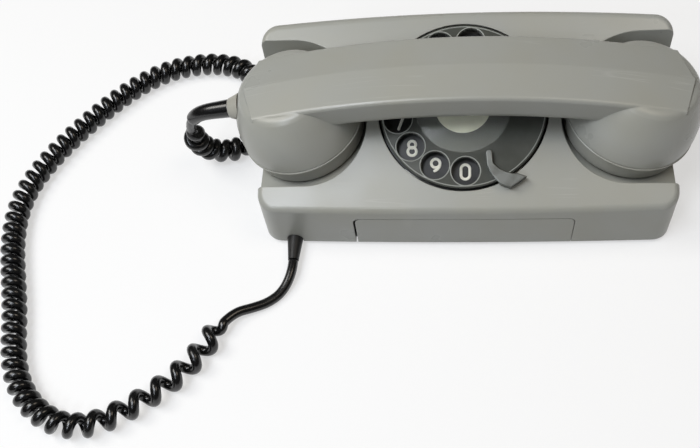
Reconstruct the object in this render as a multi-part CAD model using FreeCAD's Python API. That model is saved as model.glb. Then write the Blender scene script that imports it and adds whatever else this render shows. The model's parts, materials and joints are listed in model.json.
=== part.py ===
import FreeCAD, Part
import math
import os

# Rotary desk telephone in millimetres, +Z up, standing on the desk at Z = 0.
# The origin is under the middle of the base, +X to the user's right and -Y towards the user.

Vector = FreeCAD.Vector
Rotation = FreeCAD.Rotation
Placement = FreeCAD.Placement

# Housing
dial_margin = 4.55
end_margin = 24.05
foot_gap = 3.0
wall_flare = 0.7
front_bow = 1.5
rear_bow = 4.0
rear_overhang = 2.3
plan_corner = 9.0
ridge_height = 31.5
face_angle = 23.5
top_edge_round = 3.5
wall = 2.5

# Handset seats at the two ends of the housing
seat_web = 2.5
seat_height = 32.8
cup_tilt = 12.0
seat_radius = 33.0
seat_draft = 2.0
seat_reach = 60.0
seat_clearance = 0.1

# Access panel in the front wall
panel_width = 105.6
panel_top = 24.6
panel_corner = 3.5
panel_gap = 0.25
panel_open_gap = 0.7

# Base plate, feet and screws
plate_thickness = 1.6
plate_lift = 0.2
plate_clearance = 0.4
foot_radius = 7.0
foot_taper = 1.0
foot_stem_radius = 2.4
foot_inset_x = 22.75
foot_inset_y = 13.75
boss_inset_x = 12.75
boss_spacing_y = 44.0
boss_radius = 4.0
screw_radius = 1.5
screw_head_radius = 3.2
screw_head_height = 1.4
screw_length = 14.0
screw_clearance = 0.05
slot_count = 5
slot_pitch = 6.0
slot_width = 2.4
slot_length = 22.0

# Base cord inlet
grommet_inset = 15.75
grommet_height = 5.0
grommet_radius = 4.0
grommet_tip_radius = 2.7
grommet_reach = 12.4
grommet_flange_radius = 4.8
grommet_flange_thickness = 1.6
grommet_clearance = 0.05
line_inlet_x = 40.0
line_inlet_width = 6.0
line_inlet_height = 3.6

# Dial face
dial_lead = 10.1
opening_radius = 41.2
wheel_gap = 1.2
wheel_thickness = 2.6
wheel_underside = -0.6
wheel_edge_round = 0.9
hole_chamfer = 0.5
hole_margin = 8.2
hole_web = 1.65
hole_count = 10
hole_step = 27.0
zero_angle = 272.0
card_radius = 13.4
card_thickness = 0.4
retainer_gap = 2.2
retainer_wall = 1.0
retainer_crown = 1.8
retainer_rise = 0.2
retainer_slope = 3.0
plate_gap = 3.6
number_plate_gap = 0.8
number_plate_thickness = 1.0
number_plate_bore = 9.0

# Dial mechanism behind the number plate
frame_depth = 4.8
frame_sheet = 1.2
frame_cup_gap = 2.6
ear_overhang = 7.8
ear_width = 8.0
ear_angles = (42.0, 138.0, 232.0, 308.0)
shaft_radius = 2.5
shaft_length = 23.0
hub_radius = 7.0
hub_height = 2.4
bush_radius = 5.0
bush_length = 2.0
running_clearance = 0.05
spring_turns = 5
spring_inner_radius = 4.0
spring_pitch = 2.6
spring_sheet = 0.5
spring_height = 3.6
gear_module = 1.0
gear_teeth = 48
pinion_teeth = 12
gear_width = 1.6
pinion_width = 3.0
gear_depth = 7.4
tooth_backlash = 0.22
cam_lobes = 10
cam_radius = 10.5
cam_notch = 1.6
cam_width = 1.5
cam_depth = 11.0
governor_angle = 300.0
governor_shaft_radius = 1.5
drum_radius = 8.4
drum_wall = 1.0
drum_height = 8.0
drum_depth = 11.5
drum_post_radius = 1.6
weight_radius = 5.6
weight_size = 3.0
contact_block = (7.0, 6.0)
leaf_sheet = 0.4
leaf_gap = 0.5

# Finger stop, by distance from the dial's middle and bearing
stop_tip_angle = 297.0
stop_tip_width = 3.0
stop_waist_inset = 0.4
stop_waist_angle = 293.4
stop_waist_width = 3.0
stop_root_angles = (294.0, 307.0)
stop_root_curve = 1.6
stop_foot_angles = (298.5, 310.0)
stop_foot_overhang = 4.8
stop_foot_clearance = 0.8
stop_lift = 2.2
stop_sheet = 1.1

# Handset
crown_height = 85.5
crown_radius = 375.0
roof_half_width = 18.7
roof_drop = 2.0
side_lean = 1.2
grip_clearance = 10.0
underside_rise = 6.0
roof_edge_round = 1.6
grip_edge_round = 5.0
crease_overhang = 27.3
corner_cut = 6.0
rim_radius = 31.0
rim_height = 12.8
dome_waist_radius = 28.2
dome_waist_height = 29.5
dome_top_radius = 21.5
dome_top_height = 41.5
dome_edge_round = 5.0
shell_wall = 2.6
cap_face_radius = 25.5
cap_shoulder_radius = 29.3
cap_shoulder_height = 3.6
cap_rim_radius = 30.3
cap_seam = 0.3
cap_face_thickness = 2.4
cap_sleeve_height = 5.0
cap_sleeve_wall = 2.2
cap_clearance = 0.3
cap_hole_radius = 1.3
cap_hole_rings = ((6, 7.0), (12, 14.0))
receiver_radius = 23.0
receiver_back_radius = 18.4
receiver_height = 11.0
transmitter_radius = 24.0
transmitter_height = 9.5
holder_height = 4.0

# Handset cord exit
exit_height = 60.6
exit_y = -2.0
exit_slope = 10.0
ferrule_sink = 1.0
ferrule_base_radius = 7.2
ferrule_tip_radius = 4.9
ferrule_collar = 3.6
ferrule_cone = 6.0
relief_length = 8.0
relief_radius = 4.2
relief_tip_radius = 2.8

# Hook switch
plunger_radius = 4.0
plunger_flange_radius = 6.0
plunger_flange_height = 2.0
plunger_length = 12.0
plunger_sink = 1.2
plunger_clearance = 0.3
plunger_travel = 5.0
bail_inset = 15.75
bail_height = 14.0
bail_radius = 2.0
bail_arm_width = 5.0
bail_arm_sheet = 2.0
bail_arm_overlap = 3.0
bracket_inset = 18.7
bracket_sheet = 2.0
bracket_width = 9.0
hook_spring_turns = 6
hook_spring_wire = 0.9
hook_spring_radius = 3.1
hook_spring_pitch = 1.6
hook_contact_inset = 10.7
hook_block_length = 9.0
hook_block_width = 8.0
hook_block_gap = 22.0

# Electrical parts on the base plate
network_length = 38.0
network_front_gap = 1.0
network_height = 17.0
network_end_gap = 17.75
network_rear_gap = 8.75
terminal_rows = 2
terminal_columns = 4
terminal_pitch = 8.5
terminal_radius = 2.2
terminal_height = 1.6
capacitor_radius = 6.5
capacitor_length = 34.0
capacitor_inset = 17.75
capacitor_strap = 1.2

# Ringer
gong_boss_gap = 3.0
gong_rear_gap = 6.75
gong_front_gap = 3.3
gong_height = 11.0
gong_wall = 1.4
gong_lift = 2.0
gong_post_radius = 3.0
coil_inset = 16.7
coil_bail_gap = 17.0
coil_radius = 7.0
coil_length = 15.0
core_radius = 2.6
yoke_sheet = 2.0
yoke_width = 16.0
ringer_height = 9.5
armature_gap = 0.8
armature_length = 18.0
armature_height = 8.0
armature_sheet = 1.6
armature_boss = 2.2
pivot_radius = 1.2
clapper_ball_radius = 2.6
clapper_rod_radius = 0.8
clapper_gap = 1.1
clapper_bearing = 210.0

# Handset cord
cord_diameter = 4.2
curl_lead = cord_diameter / 2
cord_joint_gap = 0.3
curl_diameter = 12.4
curl_pitch_tight = 6.6
curl_pitch_loose = 11.5
curl_loosens_from = 0.62
curl_opens_over = 0.07
curl_ramp_turns = 1.5
curl_rest_gap = 0.2
curl_steps = 4000
exit_lead = 4.5
inlet_lead = 6.5

# Middle line of the cord, X measured from the housing's left end: from the handset's strain relief to its
# curls, and from these to the base inlet
handset_tail_points = (
    (-30.45, -1.6, 53.4), (-35.65, -0.2, 45.0), (-37.65, 2.0, 34.0), (-38.05, 4.6, 22.5),
)
curl_fall_points = ((-35.85, 7.2, 12.8), (-29.25, 8.8, 7.4))
base_tail_points = (
    (-10.85, -86.2, 5.2), (-2.25, -82.8, 3.4), (5.35, -79.2, 2.4), (11.75, -73.2, 2.6),
)

# Middle line of the curls where they lie on the desk, in plan, X measured in the same way
curl_desk_points = (
    (-20.75, 10.4), (-12.45, 18.0), (-8.85, 30.5), (-9.25, 45.0), (-13.75, 58.5), (-24.25, 67.6),
    (-39.05, 71.4), (-52.75, 70.8), (-66.75, 67.4), (-80.55, 59.6), (-92.85, 49.0), (-103.55, 37.2),
    (-113.55, 24.8), (-122.85, 11.2), (-130.45, -2.8), (-135.55, -17.4), (-136.65, -33.0),
    (-134.45, -49.0), (-130.45, -64.0), (-126.25, -78.0), (-122.85, -91.0), (-120.05, -104.5),
    (-116.05, -118.2), (-108.85, -130.6), (-98.25, -140.2), (-84.85, -145.8), (-71.25, -144.6),
    (-58.65, -138.4), (-46.25, -130.0), (-34.85, -120.4), (-25.25, -108.4), (-18.05, -95.2),
)

# Values worked out from the driving sizes
body_depth = 2 * (opening_radius + dial_margin)
cup_x = opening_radius + seat_web + seat_radius
body_width = 2 * (cup_x + end_margin)
foot_spacing_x = body_width - 2 * foot_inset_x
foot_spacing_y = body_depth - 2 * foot_inset_y
boss_spacing_x = body_width - 2 * boss_inset_x
grommet_x = grommet_inset - body_width / 2
flare_slope = math.tan(math.radians(wall_flare))
ridge_y = -body_depth / 2 + (ridge_height - foot_gap) * flare_slope
plate_low = foot_gap + plate_lift
plate_top = plate_low + plate_thickness
dial_up_slope = opening_radius + dial_lead
wheel_radius = opening_radius - wheel_gap
hole_circle = wheel_radius - hole_margin
hole_radius = hole_circle * math.sin(math.radians(hole_step / 2)) - hole_web / 2
retainer_radius = hole_circle - hole_radius - retainer_gap
wheel_top = wheel_underside + wheel_thickness
number_plate_radius = opening_radius - number_plate_gap
number_plate_top = wheel_underside - plate_gap
number_plate_low = number_plate_top - number_plate_thickness
frame_cup_radius = opening_radius - frame_cup_gap
ear_reach = opening_radius + ear_overhang
frame_low = number_plate_low - frame_depth
gear_pitch_radius = gear_module * gear_teeth / 2
pinion_pitch_radius = gear_module * pinion_teeth / 2
gear_top = frame_low - gear_depth
cam_top = frame_low - cam_depth
drum_top = frame_low - drum_depth
shaft_low = frame_low - shaft_length
governor_distance = gear_pitch_radius + pinion_pitch_radius
stop_tip_radius = hole_circle - hole_radius
stop_waist_radius = hole_circle - stop_waist_inset
stop_foot_reach = opening_radius + stop_foot_overhang
crease_reach = cup_x + crease_overhang
corner_reach = crease_reach - corner_cut
ferrule_start = crease_reach - ferrule_sink
cap_top = rim_height - cap_seam
sleeve_radius = rim_radius - shell_wall - cap_clearance
curl_radius = (curl_diameter - cord_diameter) / 2
bail_y = bail_inset - body_depth / 2
bracket_x = cup_x - bracket_inset
hook_contact_x = hook_contact_inset - cup_x
hook_block_y = bail_y + hook_block_gap
network_x = network_end_gap + network_length / 2 - body_width / 2
network_front = plunger_flange_radius + network_front_gap
network_rear = body_depth / 2 - network_rear_gap
network_y = (network_front + network_rear) / 2
capacitor_y = body_depth / 2 - capacitor_inset
coil_x = cup_x - coil_inset
coil_y = bail_y + coil_bail_gap
coil_axis_height = plate_top + ringer_height
armature_y = coil_y + coil_length / 2 + yoke_sheet + armature_gap + armature_boss
gong_front = armature_y + armature_boss + gong_front_gap
gong_rear = body_depth / 2 - gong_rear_gap
gong_radius = (gong_rear - gong_front) / 2
gong_x = boss_spacing_x / 2 - boss_radius - gong_boss_gap - gong_radius
gong_y = gong_rear - gong_radius


def face_frame(up_slope):
    """Frame on the dial face: X right, Y up the slope, Z out of the face."""
    slope = math.radians(face_angle)
    origin = Vector(0, ridge_y + up_slope * math.cos(slope), ridge_height + up_slope * math.sin(slope))
    return Placement(origin, Rotation(Vector(1, 0, 0), face_angle))


def seat_frame():
    """Frame of the right-hand seat: X outwards along the seat, Z along the cup's axis."""
    return Placement(Vector(cup_x, 0, seat_height), Rotation(Vector(0, 1, 0), cup_tilt))


def retainer_top():
    """Height of the card retainer's crown over the wheel's underside, in the dial's frame."""
    return wheel_top + card_thickness + cap_clearance + retainer_crown + retainer_rise


dial_frame_place = face_frame(dial_up_slope)
side_low = dial_frame_place.multVec(Vector(0, 0, retainer_top())).z + grip_clearance


def placed(shape, place):
    """A copy of a shape moved by a placement."""
    moved = shape.copy()
    moved.Placement = place.multiply(moved.Placement)
    return moved


def mirrored(shape):
    """The same shape on the other side of the middle plane."""
    return shape.mirror(Vector(0, 0, 0), Vector(1, 0, 0))


def rod(radius, low, high, x=0.0, y=0.0):
    """A vertical cylinder between two heights."""
    return Part.makeCylinder(radius, high - low, Vector(x, y, low))


def rod_along_x(radius, left, right, y, z):
    """A cylinder along X."""
    return Part.makeCylinder(radius, right - left, Vector(left, y, z), Vector(1, 0, 0))


def rod_along_y(radius, front, back, x, z):
    """A cylinder along Y."""
    return Part.makeCylinder(radius, back - front, Vector(x, front, z), Vector(0, 1, 0))


def ring(outer, inner, low, high):
    """A tube about the Z axis."""
    return rod(outer, low, high).cut(rod(inner, low - wall, high + wall))


def block(left, right, front, back, low, high):
    """A box between six planes."""
    return Part.makeBox(right - left, back - front, high - low, Vector(left, front, low))


def turned(points):
    """A solid turned about the Z axis from (radius, height) points."""
    corners = [Vector(r, 0, z) for r, z in points]
    face = Part.Face(Part.makePolygon([*corners, corners[0]]))
    return face.revolve(Vector(0, 0, 0), Vector(0, 0, 1), 360)


def turned_edges(edges):
    """A solid turned about the Z axis from a closed chain of edges in the XZ plane."""
    return Part.Face(Part.Wire(edges)).revolve(Vector(0, 0, 0), Vector(0, 0, 1), 360)


def line(a, b):
    """A straight edge."""
    return Part.LineSegment(a, b).toShape()


def arc(a, b, c):
    """An arc edge through three points."""
    return Part.Arc(a, b, c).toShape()


def polar(radius, angle, z=0.0):
    """A point on a circle about the Z axis, the angle in degrees."""
    turn = math.radians(angle)
    return Vector(radius * math.cos(turn), radius * math.sin(turn), z)


def prism(points, low, high):
    """An upright prism on a plan polygon."""
    corners = [Vector(x, y, low) for x, y in points]
    face = Part.Face(Part.makePolygon([*corners, corners[0]]))
    return face.extrude(Vector(0, 0, high - low))


def joined(shapes):
    """One solid fused from several that touch."""
    first, *rest = shapes
    return first.fuse(rest).removeSplitter()


def save(name, *solids):
    """Write one node, and say so if a solid isn't sound."""
    parts = [solid for shape in solids for solid in shape.Solids]
    for solid in parts:
        if not solid.isValid() or solid.Volume <= 0:
            print("unsound solid in", name)
    shape = parts[0] if len(parts) == 1 else Part.makeCompound(parts)
    shape.exportStep("parts/" + name + ".step")
    print(name, len(parts), "volume", round(sum(solid.Volume for solid in parts), 1))


# Housing


def plan_outline(height, inset):
    """Plan of the four walls at a height: bowed front and rear, straight ends."""
    lean = (height - foot_gap) * flare_slope + inset
    half_x = body_width / 2 - lean
    half_y = body_depth / 2 - lean
    front_left = Vector(-half_x, front_bow - half_y, height)
    front_right = Vector(half_x, front_bow - half_y, height)
    rear = half_y + rear_overhang
    rear_right = Vector(half_x, rear - rear_bow, height)
    rear_left = Vector(-half_x, rear - rear_bow, height)
    return Part.Wire([
        arc(front_left, Vector(0, -half_y, height), front_right),
        line(front_right, rear_right),
        arc(rear_right, Vector(0, rear, height), rear_left),
        line(rear_left, front_left),
    ])


def walls(inset, low, high):
    """A leaning block with rounded upright corners, the plan inset all round."""
    solid = Part.makeLoft([plan_outline(low, inset), plan_outline(high, inset)], True, True)
    upright = [e for e in solid.Edges if abs(e.Vertexes[0].Z - e.Vertexes[-1].Z) > (high - low) / 2]
    return solid.makeFillet(plan_corner - inset, upright)


def above_face(offset):
    """Everything above the dial face, or above a plane parallel to it."""
    reach = body_width
    slab = block(-reach, reach, -reach, reach, offset, offset + reach)
    return placed(slab, face_frame(0))


def on_face(edge):
    """Whether an edge lies in the dial face."""
    back = face_frame(0).inverse()
    mid = edge.valueAt((edge.FirstParameter + edge.LastParameter) / 2)
    return all(abs(back.multVec(p).z) < 0.01 for p in (mid, edge.Vertexes[0].Point, edge.Vertexes[-1].Point))


def seat_cut(grow):
    """Space of the right-hand handset seat: a U in plan with drafted walls, open at the end."""
    rise = body_depth

    def outline(height):
        r = seat_radius + grow + max(height, 0) * math.tan(math.radians(seat_draft))
        return Part.Wire([
            arc(Vector(0, r, height), Vector(-r, 0, height), Vector(0, -r, height)),
            line(Vector(0, -r, height), Vector(seat_reach, -r, height)),
            line(Vector(seat_reach, -r, height), Vector(seat_reach, r, height)),
            line(Vector(seat_reach, r, height), Vector(0, r, height)),
        ])

    floor = -seat_clearance - grow
    upper = Part.makeLoft([outline(0), outline(rise)], True, True)
    lower = Part.Face(outline(floor)).extrude(Vector(0, 0, -floor))
    return placed(upper.fuse(lower), seat_frame())


def outer_form():
    """The housing's outside before it is hollowed."""
    top = ridge_height + body_depth
    solid = walls(0, foot_gap, top).cut(above_face(0))
    return solid.makeFillet(top_edge_round, [e for e in solid.Edges if on_face(e)])


def inner_form():
    """The hollow under the walls and the face, before the seats are kept out of it."""
    top = ridge_height + body_depth
    return walls(wall, foot_gap - wall, top).cut(above_face(-wall))


def panel_prism(grow, open_side):
    """Block over the front wall where the access panel sits, with rounded upper corners."""
    left = -panel_width / 2 - grow - open_side
    right = panel_width / 2 + grow
    top = panel_top + grow
    solid = block(left, right, -body_depth, ridge_y + wall + top_edge_round, foot_gap - wall, top)
    upper = [e for e in solid.Edges if abs(e.CenterOfMass.z - top) < 0.01]
    corners = [e for e in upper if abs(e.CenterOfMass.x - (left + right) / 2) > panel_corner]
    return solid.makeFillet(panel_corner, corners)


def boss_places():
    """Middle of each base screw."""
    return [(sx * boss_spacing_x / 2, sy * boss_spacing_y / 2) for sx in (-1, 1) for sy in (-1, 1)]


def foot_places():
    """Middle of each rubber foot."""
    return [(sx * foot_spacing_x / 2, sy * foot_spacing_y / 2) for sx in (-1, 1) for sy in (-1, 1)]


def seat_top_at(x):
    """Height of the seat's floor at a distance from the middle plane."""
    return seat_height - (abs(x) - cup_x) * math.tan(math.radians(cup_tilt))


def front_wall(x, inset, height):
    """Where the bowed front wall stands at a distance from the middle, or its inner face when inset."""
    lean = (height - foot_gap) * flare_slope + inset
    half_x, half_y = body_width / 2 - lean, body_depth / 2 - lean
    bow_radius = (half_x ** 2 + front_bow ** 2) / (2 * front_bow)
    return bow_radius - half_y - math.sqrt(bow_radius ** 2 - x ** 2)


def grommet_inner_end():
    """Front of the grommet's flange, just behind the bowed wall."""
    far_side = grommet_x - grommet_flange_radius
    return front_wall(far_side, wall, grommet_height + grommet_flange_radius) + grommet_clearance


def inlet_tip():
    """Where the cord goes into the grommet."""
    return Vector(grommet_x, front_wall(grommet_x, 0, grommet_height) - grommet_reach, grommet_height)


def grommet_slot(grow, low):
    """Notch in the lower edge of the front wall for the cord inlet."""
    r = grommet_radius + grow
    front, back = -body_depth, ridge_y + 2 * wall
    upper = rod_along_y(r, front, back, grommet_x, grommet_height)
    lower = block(grommet_x - r, grommet_x + r, front, back, low, grommet_height)
    return upper.fuse(lower)


def ear_place(angle):
    """Screw of a dial frame ear, in the dial's plane."""
    return polar(ear_reach - ear_width / 2, angle)


def housing(outer, inner):
    """Moulded shell with the seats, dial opening, panel opening, inlets, bosses and plunger holes."""
    grown = seat_cut(wall)
    hollow = inner.cut(grown).cut(mirrored(grown))
    shell = outer.cut(seat_cut(0)).cut(mirrored(seat_cut(0))).cut(hollow)
    shell = shell.cut(panel_prism(panel_gap, panel_open_gap))
    shell = shell.cut(grommet_slot(grommet_clearance, foot_gap - wall))
    line_inlet = block(line_inlet_x, line_inlet_x + line_inlet_width, ridge_y + 2 * wall, body_depth,
                       foot_gap - wall, foot_gap + line_inlet_height)
    shell = shell.cut(line_inlet)
    for x, y in boss_places():
        top = seat_top_at(x) - wall / 2
        shell = shell.fuse(rod(boss_radius, plate_top, top, x, y))
        shell = shell.cut(rod(screw_radius + screw_clearance, plate_top, plate_top + screw_length, x, y))
    for angle in ear_angles:
        spot = ear_place(angle)
        post = rod(ear_width / 2, number_plate_low, -wall / 2, spot.x, spot.y)
        hole = rod(screw_radius + screw_clearance, number_plate_low, -wall, spot.x, spot.y)
        shell = shell.fuse(placed(post, dial_frame_place)).cut(placed(hole, dial_frame_place))
    opening = rod(opening_radius, number_plate_low, top_edge_round)
    shell = shell.cut(placed(opening, dial_frame_place))
    for side in (-1, 1):
        low = seat_height - 4 * wall
        shell = shell.cut(rod(plunger_radius + plunger_clearance, low, seat_height + wall, side * cup_x, 0))
    return shell.removeSplitter()


def access_panel(outer, inner):
    """Snap-in cover flush with the front wall, with a lip behind its upper edge."""
    return outer.cut(inner).common(panel_prism(0, 0))


def base_plate():
    """Pressed plate that closes the underside, with screw, foot and sound holes."""
    plate = walls(wall + plate_clearance, plate_low, plate_top)
    low, high = plate_low - wall, plate_top + wall
    for x, y in boss_places():
        plate = plate.cut(rod(screw_radius + screw_clearance, low, high, x, y))
    for x, y in foot_places():
        plate = plate.cut(rod(foot_stem_radius + screw_clearance, low, high, x, y))
    for k in range(slot_count):
        x = gong_x + (k - (slot_count - 1) / 2) * slot_pitch
        y = gong_y - slot_length / 2
        plate = plate.cut(block(x - slot_width / 2, x + slot_width / 2, y, y + slot_length, low, high))
    keep = grommet_flange_radius + plate_clearance
    back = grommet_inner_end() + grommet_flange_thickness + plate_clearance
    return plate.cut(block(grommet_x - keep, grommet_x + keep, -body_depth, back, low, high))


def rubber_foot(x, y):
    """Tapered rubber foot with a stem pressed through the base plate."""
    body = Part.makeCone(foot_radius - foot_taper, foot_radius, plate_low, Vector(x, y, 0))
    return body.fuse(rod(foot_stem_radius, plate_low, plate_top, x, y)).removeSplitter()


def base_screw(x, y):
    """Screw from under the base plate into a housing boss."""
    head = rod(screw_head_radius, plate_low - screw_head_height, plate_low, x, y)
    return head.fuse(rod(screw_radius, plate_low, plate_top + screw_length - 1, x, y)).removeSplitter()


def base_grommet():
    """Tapered rubber inlet for the handset cord, with a flange behind the wall."""
    tip = inlet_tip()
    along = Vector(0, 1, 0)
    root = tip + along * grommet_reach
    behind = Vector(grommet_x, grommet_inner_end(), grommet_height)
    taper = Part.makeCone(grommet_tip_radius, grommet_radius, grommet_reach, tip, along)
    neck = Part.makeCylinder(grommet_radius, (behind - root).Length, root, along)
    flange = Part.makeCylinder(grommet_flange_radius, grommet_flange_thickness, behind, along)
    return joined([taper, neck, flange])


# Dial, built in the frame of the dial face


def finger_hole_angles():
    """Bearing of each finger hole at rest, from digit 0 round to digit 1."""
    return [zero_angle - k * hole_step for k in range(hole_count)]


def finger_wheel():
    """Clear wheel with ten chamfered finger holes and a softened edge."""
    disc = rod(wheel_radius, wheel_underside, wheel_top)
    disc = disc.makeFillet(wheel_edge_round, [e for e in disc.Edges if e.Curve.TypeId == "Part::GeomCircle"])
    for angle in finger_hole_angles():
        spot = polar(hole_circle, angle)
        hole = rod(hole_radius, wheel_underside - 1, wheel_top + 1, spot.x, spot.y)
        sink = Part.makeCone(hole_radius, hole_radius + hole_chamfer, hole_chamfer,
                             Vector(spot.x, spot.y, wheel_top - hole_chamfer))
        disc = disc.cut(hole.fuse(sink))
    return disc.cut(rod(shaft_radius, wheel_underside - 1, wheel_top + 1))


def number_card():
    """Round card on the wheel, under its clear cap."""
    return rod(card_radius, wheel_top, wheel_top + card_thickness)


def card_retainer():
    """Clear domed cap that holds the card on the wheel."""
    inside = card_radius + cap_clearance
    roof = wheel_top + card_thickness + cap_clearance
    return turned([
        (0, roof), (inside, roof), (inside, wheel_top), (retainer_radius, wheel_top),
        (retainer_radius, wheel_top + retainer_wall),
        (retainer_radius - retainer_slope, roof + retainer_wall),
        (card_radius, roof + retainer_crown), (0, retainer_top()),
    ])


def number_plate():
    """Dished ring that carries the numerals, with a raised edge just inside the opening."""
    lip = number_plate_top + plate_gap / 3
    r = number_plate_radius
    return turned([
        (number_plate_bore, number_plate_low), (r, number_plate_low), (r, lip), (r - 0.8, lip),
        (r - 1.4, number_plate_top), (number_plate_bore, number_plate_top),
    ])


def dial_frame():
    """Pressed cup under the number plate, with a shaft bush and ears for its screws."""
    r = frame_cup_radius
    cup = turned([
        (shaft_radius + running_clearance, frame_low - bush_length), (bush_radius, frame_low - bush_length),
        (bush_radius, frame_low), (r, frame_low), (r, number_plate_low), (r - frame_sheet, number_plate_low),
        (r - frame_sheet, frame_low + frame_sheet),
        (shaft_radius + running_clearance, frame_low + frame_sheet),
    ])
    low = number_plate_low - frame_sheet
    half = ear_width / 2
    middle = ear_reach - half
    for angle in ear_angles:
        arm = block(r - frame_sheet, middle, -half, half, low, number_plate_low)
        arm = arm.fuse(rod(half, low, number_plate_low, middle, 0))
        arm = arm.cut(rod(screw_radius + screw_clearance, low - 1, number_plate_low + 1, middle, 0))
        cup = cup.fuse(placed(arm, Placement(Vector(0, 0, 0), Rotation(Vector(0, 0, 1), angle))))
    spot = polar(governor_distance, governor_angle)
    bore = governor_shaft_radius + running_clearance
    bearing = rod(bore, frame_low - 1, frame_low + frame_sheet + 1, spot.x, spot.y)
    return cup.cut(bearing).removeSplitter()


def dial_screw(angle):
    """Screw through a frame ear into its boss under the face."""
    spot = ear_place(angle)
    low = number_plate_low - frame_sheet
    head = rod(screw_head_radius, low - screw_head_height, low, spot.x, spot.y)
    return head.fuse(rod(screw_radius, low, -wall - 1, spot.x, spot.y)).removeSplitter()


def dial_shaft():
    """Stepped shaft: a hub under the finger wheel and a journal through the frame's bush."""
    hub_low = wheel_underside - hub_height
    return turned([
        (0, shaft_low), (shaft_radius, shaft_low), (shaft_radius, hub_low), (hub_radius, hub_low),
        (hub_radius, wheel_underside), (shaft_radius, wheel_underside), (shaft_radius, wheel_top),
        (0, wheel_top),
    ])


def mainspring():
    """Flat spiral spring about the shaft, its edge against the underside of the frame."""
    half = spring_sheet / 2
    shift = spring_pitch / 4

    def spiral(offset):
        edges = []
        radius = spring_inner_radius + bush_radius - shaft_radius
        for k in range(2 * spring_turns):
            side = 1 if k % 2 == 0 else -1
            centre = Vector(side * shift, 0, 0)
            r = radius + k * spring_pitch / 2 + offset
            start = centre + Vector(-side * r, 0, 0)
            middle = centre + Vector(0, -side * r, 0)
            end = centre + Vector(side * r, 0, 0)
            edges.append(arc(start, middle, end))
        return edges

    inner, outer = spiral(-half), spiral(half)
    caps = [line(inner[0].Vertexes[0].Point, outer[0].Vertexes[0].Point),
            line(inner[-1].Vertexes[-1].Point, outer[-1].Vertexes[-1].Point)]
    face = Part.Face(Part.Wire(Part.__sortEdges__(inner + outer + caps)))
    strip = face.extrude(Vector(0, 0, -spring_height))
    strip.translate(Vector(0, 0, frame_low))
    return strip


def toothed_disc(teeth, tooth_angle, low, high):
    """Involute spur gear with short teeth, one tooth centred on the given bearing."""
    pitch = gear_module * teeth / 2
    base = pitch * math.cos(math.radians(20))
    tip, root = pitch + 0.75 * gear_module, pitch - gear_module

    def involute(radius):
        turn = math.acos(min(1.0, base / radius))
        return math.tan(turn) - turn

    half_tooth = math.pi / (2 * teeth) - tooth_backlash / (2 * pitch)
    start = max(base, root)
    radii = [start + (tip - start) * k / 2 for k in range(3)]
    flank = [(r, half_tooth + involute(pitch) - involute(r)) for r in radii]
    if root < base:
        flank.insert(0, (root, flank[0][1]))
    points = []
    for k in range(teeth):
        middle = math.radians(tooth_angle) + 2 * math.pi * k / teeth
        for r, half in flank:
            points.append((r * math.cos(middle - half), r * math.sin(middle - half)))
        for r, half in reversed(flank):
            points.append((r * math.cos(middle + half), r * math.sin(middle + half)))
    return prism(points, low, high)


def main_gear():
    """Gear fixed on the dial shaft, in mesh with the governor's pinion."""
    gear = toothed_disc(gear_teeth, governor_angle, gear_top - gear_width, gear_top)
    return gear.cut(rod(shaft_radius, gear_top - gear_width - 1, gear_top + 1))


def impulse_cam():
    """Ten-lobed cam that works the impulse contacts."""
    points = []
    for k in range(cam_lobes):
        middle = 360.0 * k / cam_lobes
        for share, radius in ((-0.3, cam_radius), (0.3, cam_radius), (0.42, cam_radius - cam_notch),
                              (0.58, cam_radius - cam_notch)):
            spot = polar(radius, middle + share * 360.0 / cam_lobes)
            points.append((spot.x, spot.y))
    cam = prism(points, cam_top - cam_width, cam_top)
    return cam.cut(rod(shaft_radius, cam_top - cam_width - 1, cam_top + 1))


def impulse_contacts():
    """Insulated pile of two leaf springs reaching to the cam from a post under the frame."""
    length, width = contact_block
    near = gear_pitch_radius + 3 * gear_module
    pile = block(-near - length, -near, -width / 2, width / 2, cam_top - 3 * cam_width, frame_low)
    reach = cam_radius + leaf_gap
    leaves = []
    for low in (cam_top - cam_width, cam_top - 2.6 * cam_width):
        leaves.append(block(-near, -reach, -width / 4, width / 4, low, low + leaf_sheet))
    return joined([pile, *leaves])


def governor_pinion():
    """Pinion and spindle that drive the governor."""
    spot = polar(governor_distance, governor_angle)
    middle = gear_top - gear_width / 2
    half_step = 180.0 / pinion_teeth
    teeth = toothed_disc(pinion_teeth, governor_angle + 180 + half_step, middle - pinion_width / 2,
                         middle + pinion_width / 2)
    teeth.translate(spot)
    low = drum_top - drum_height - drum_wall
    return joined([teeth, rod(governor_shaft_radius, low, frame_low + frame_sheet, spot.x, spot.y)])


def governor_weights():
    """Two flyweights on a spring bar across the spindle, inside the drum."""
    spot = polar(governor_distance, governor_angle)
    low = drum_top - drum_height / 2 - weight_size / 2
    high = low + weight_size
    half = weight_size / 2
    bar = block(-weight_radius, weight_radius, -half / 2, half / 2, low + half / 2, high - half / 2)
    weights = [rod(half, low, high, side * (weight_radius - half / 4), 0) for side in (-1, 1)]
    group = joined([bar, rod(governor_shaft_radius + 0.8, low, high), *weights])
    group = group.cut(rod(governor_shaft_radius, low - 1, high + 1))
    group.translate(spot)
    return group


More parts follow.
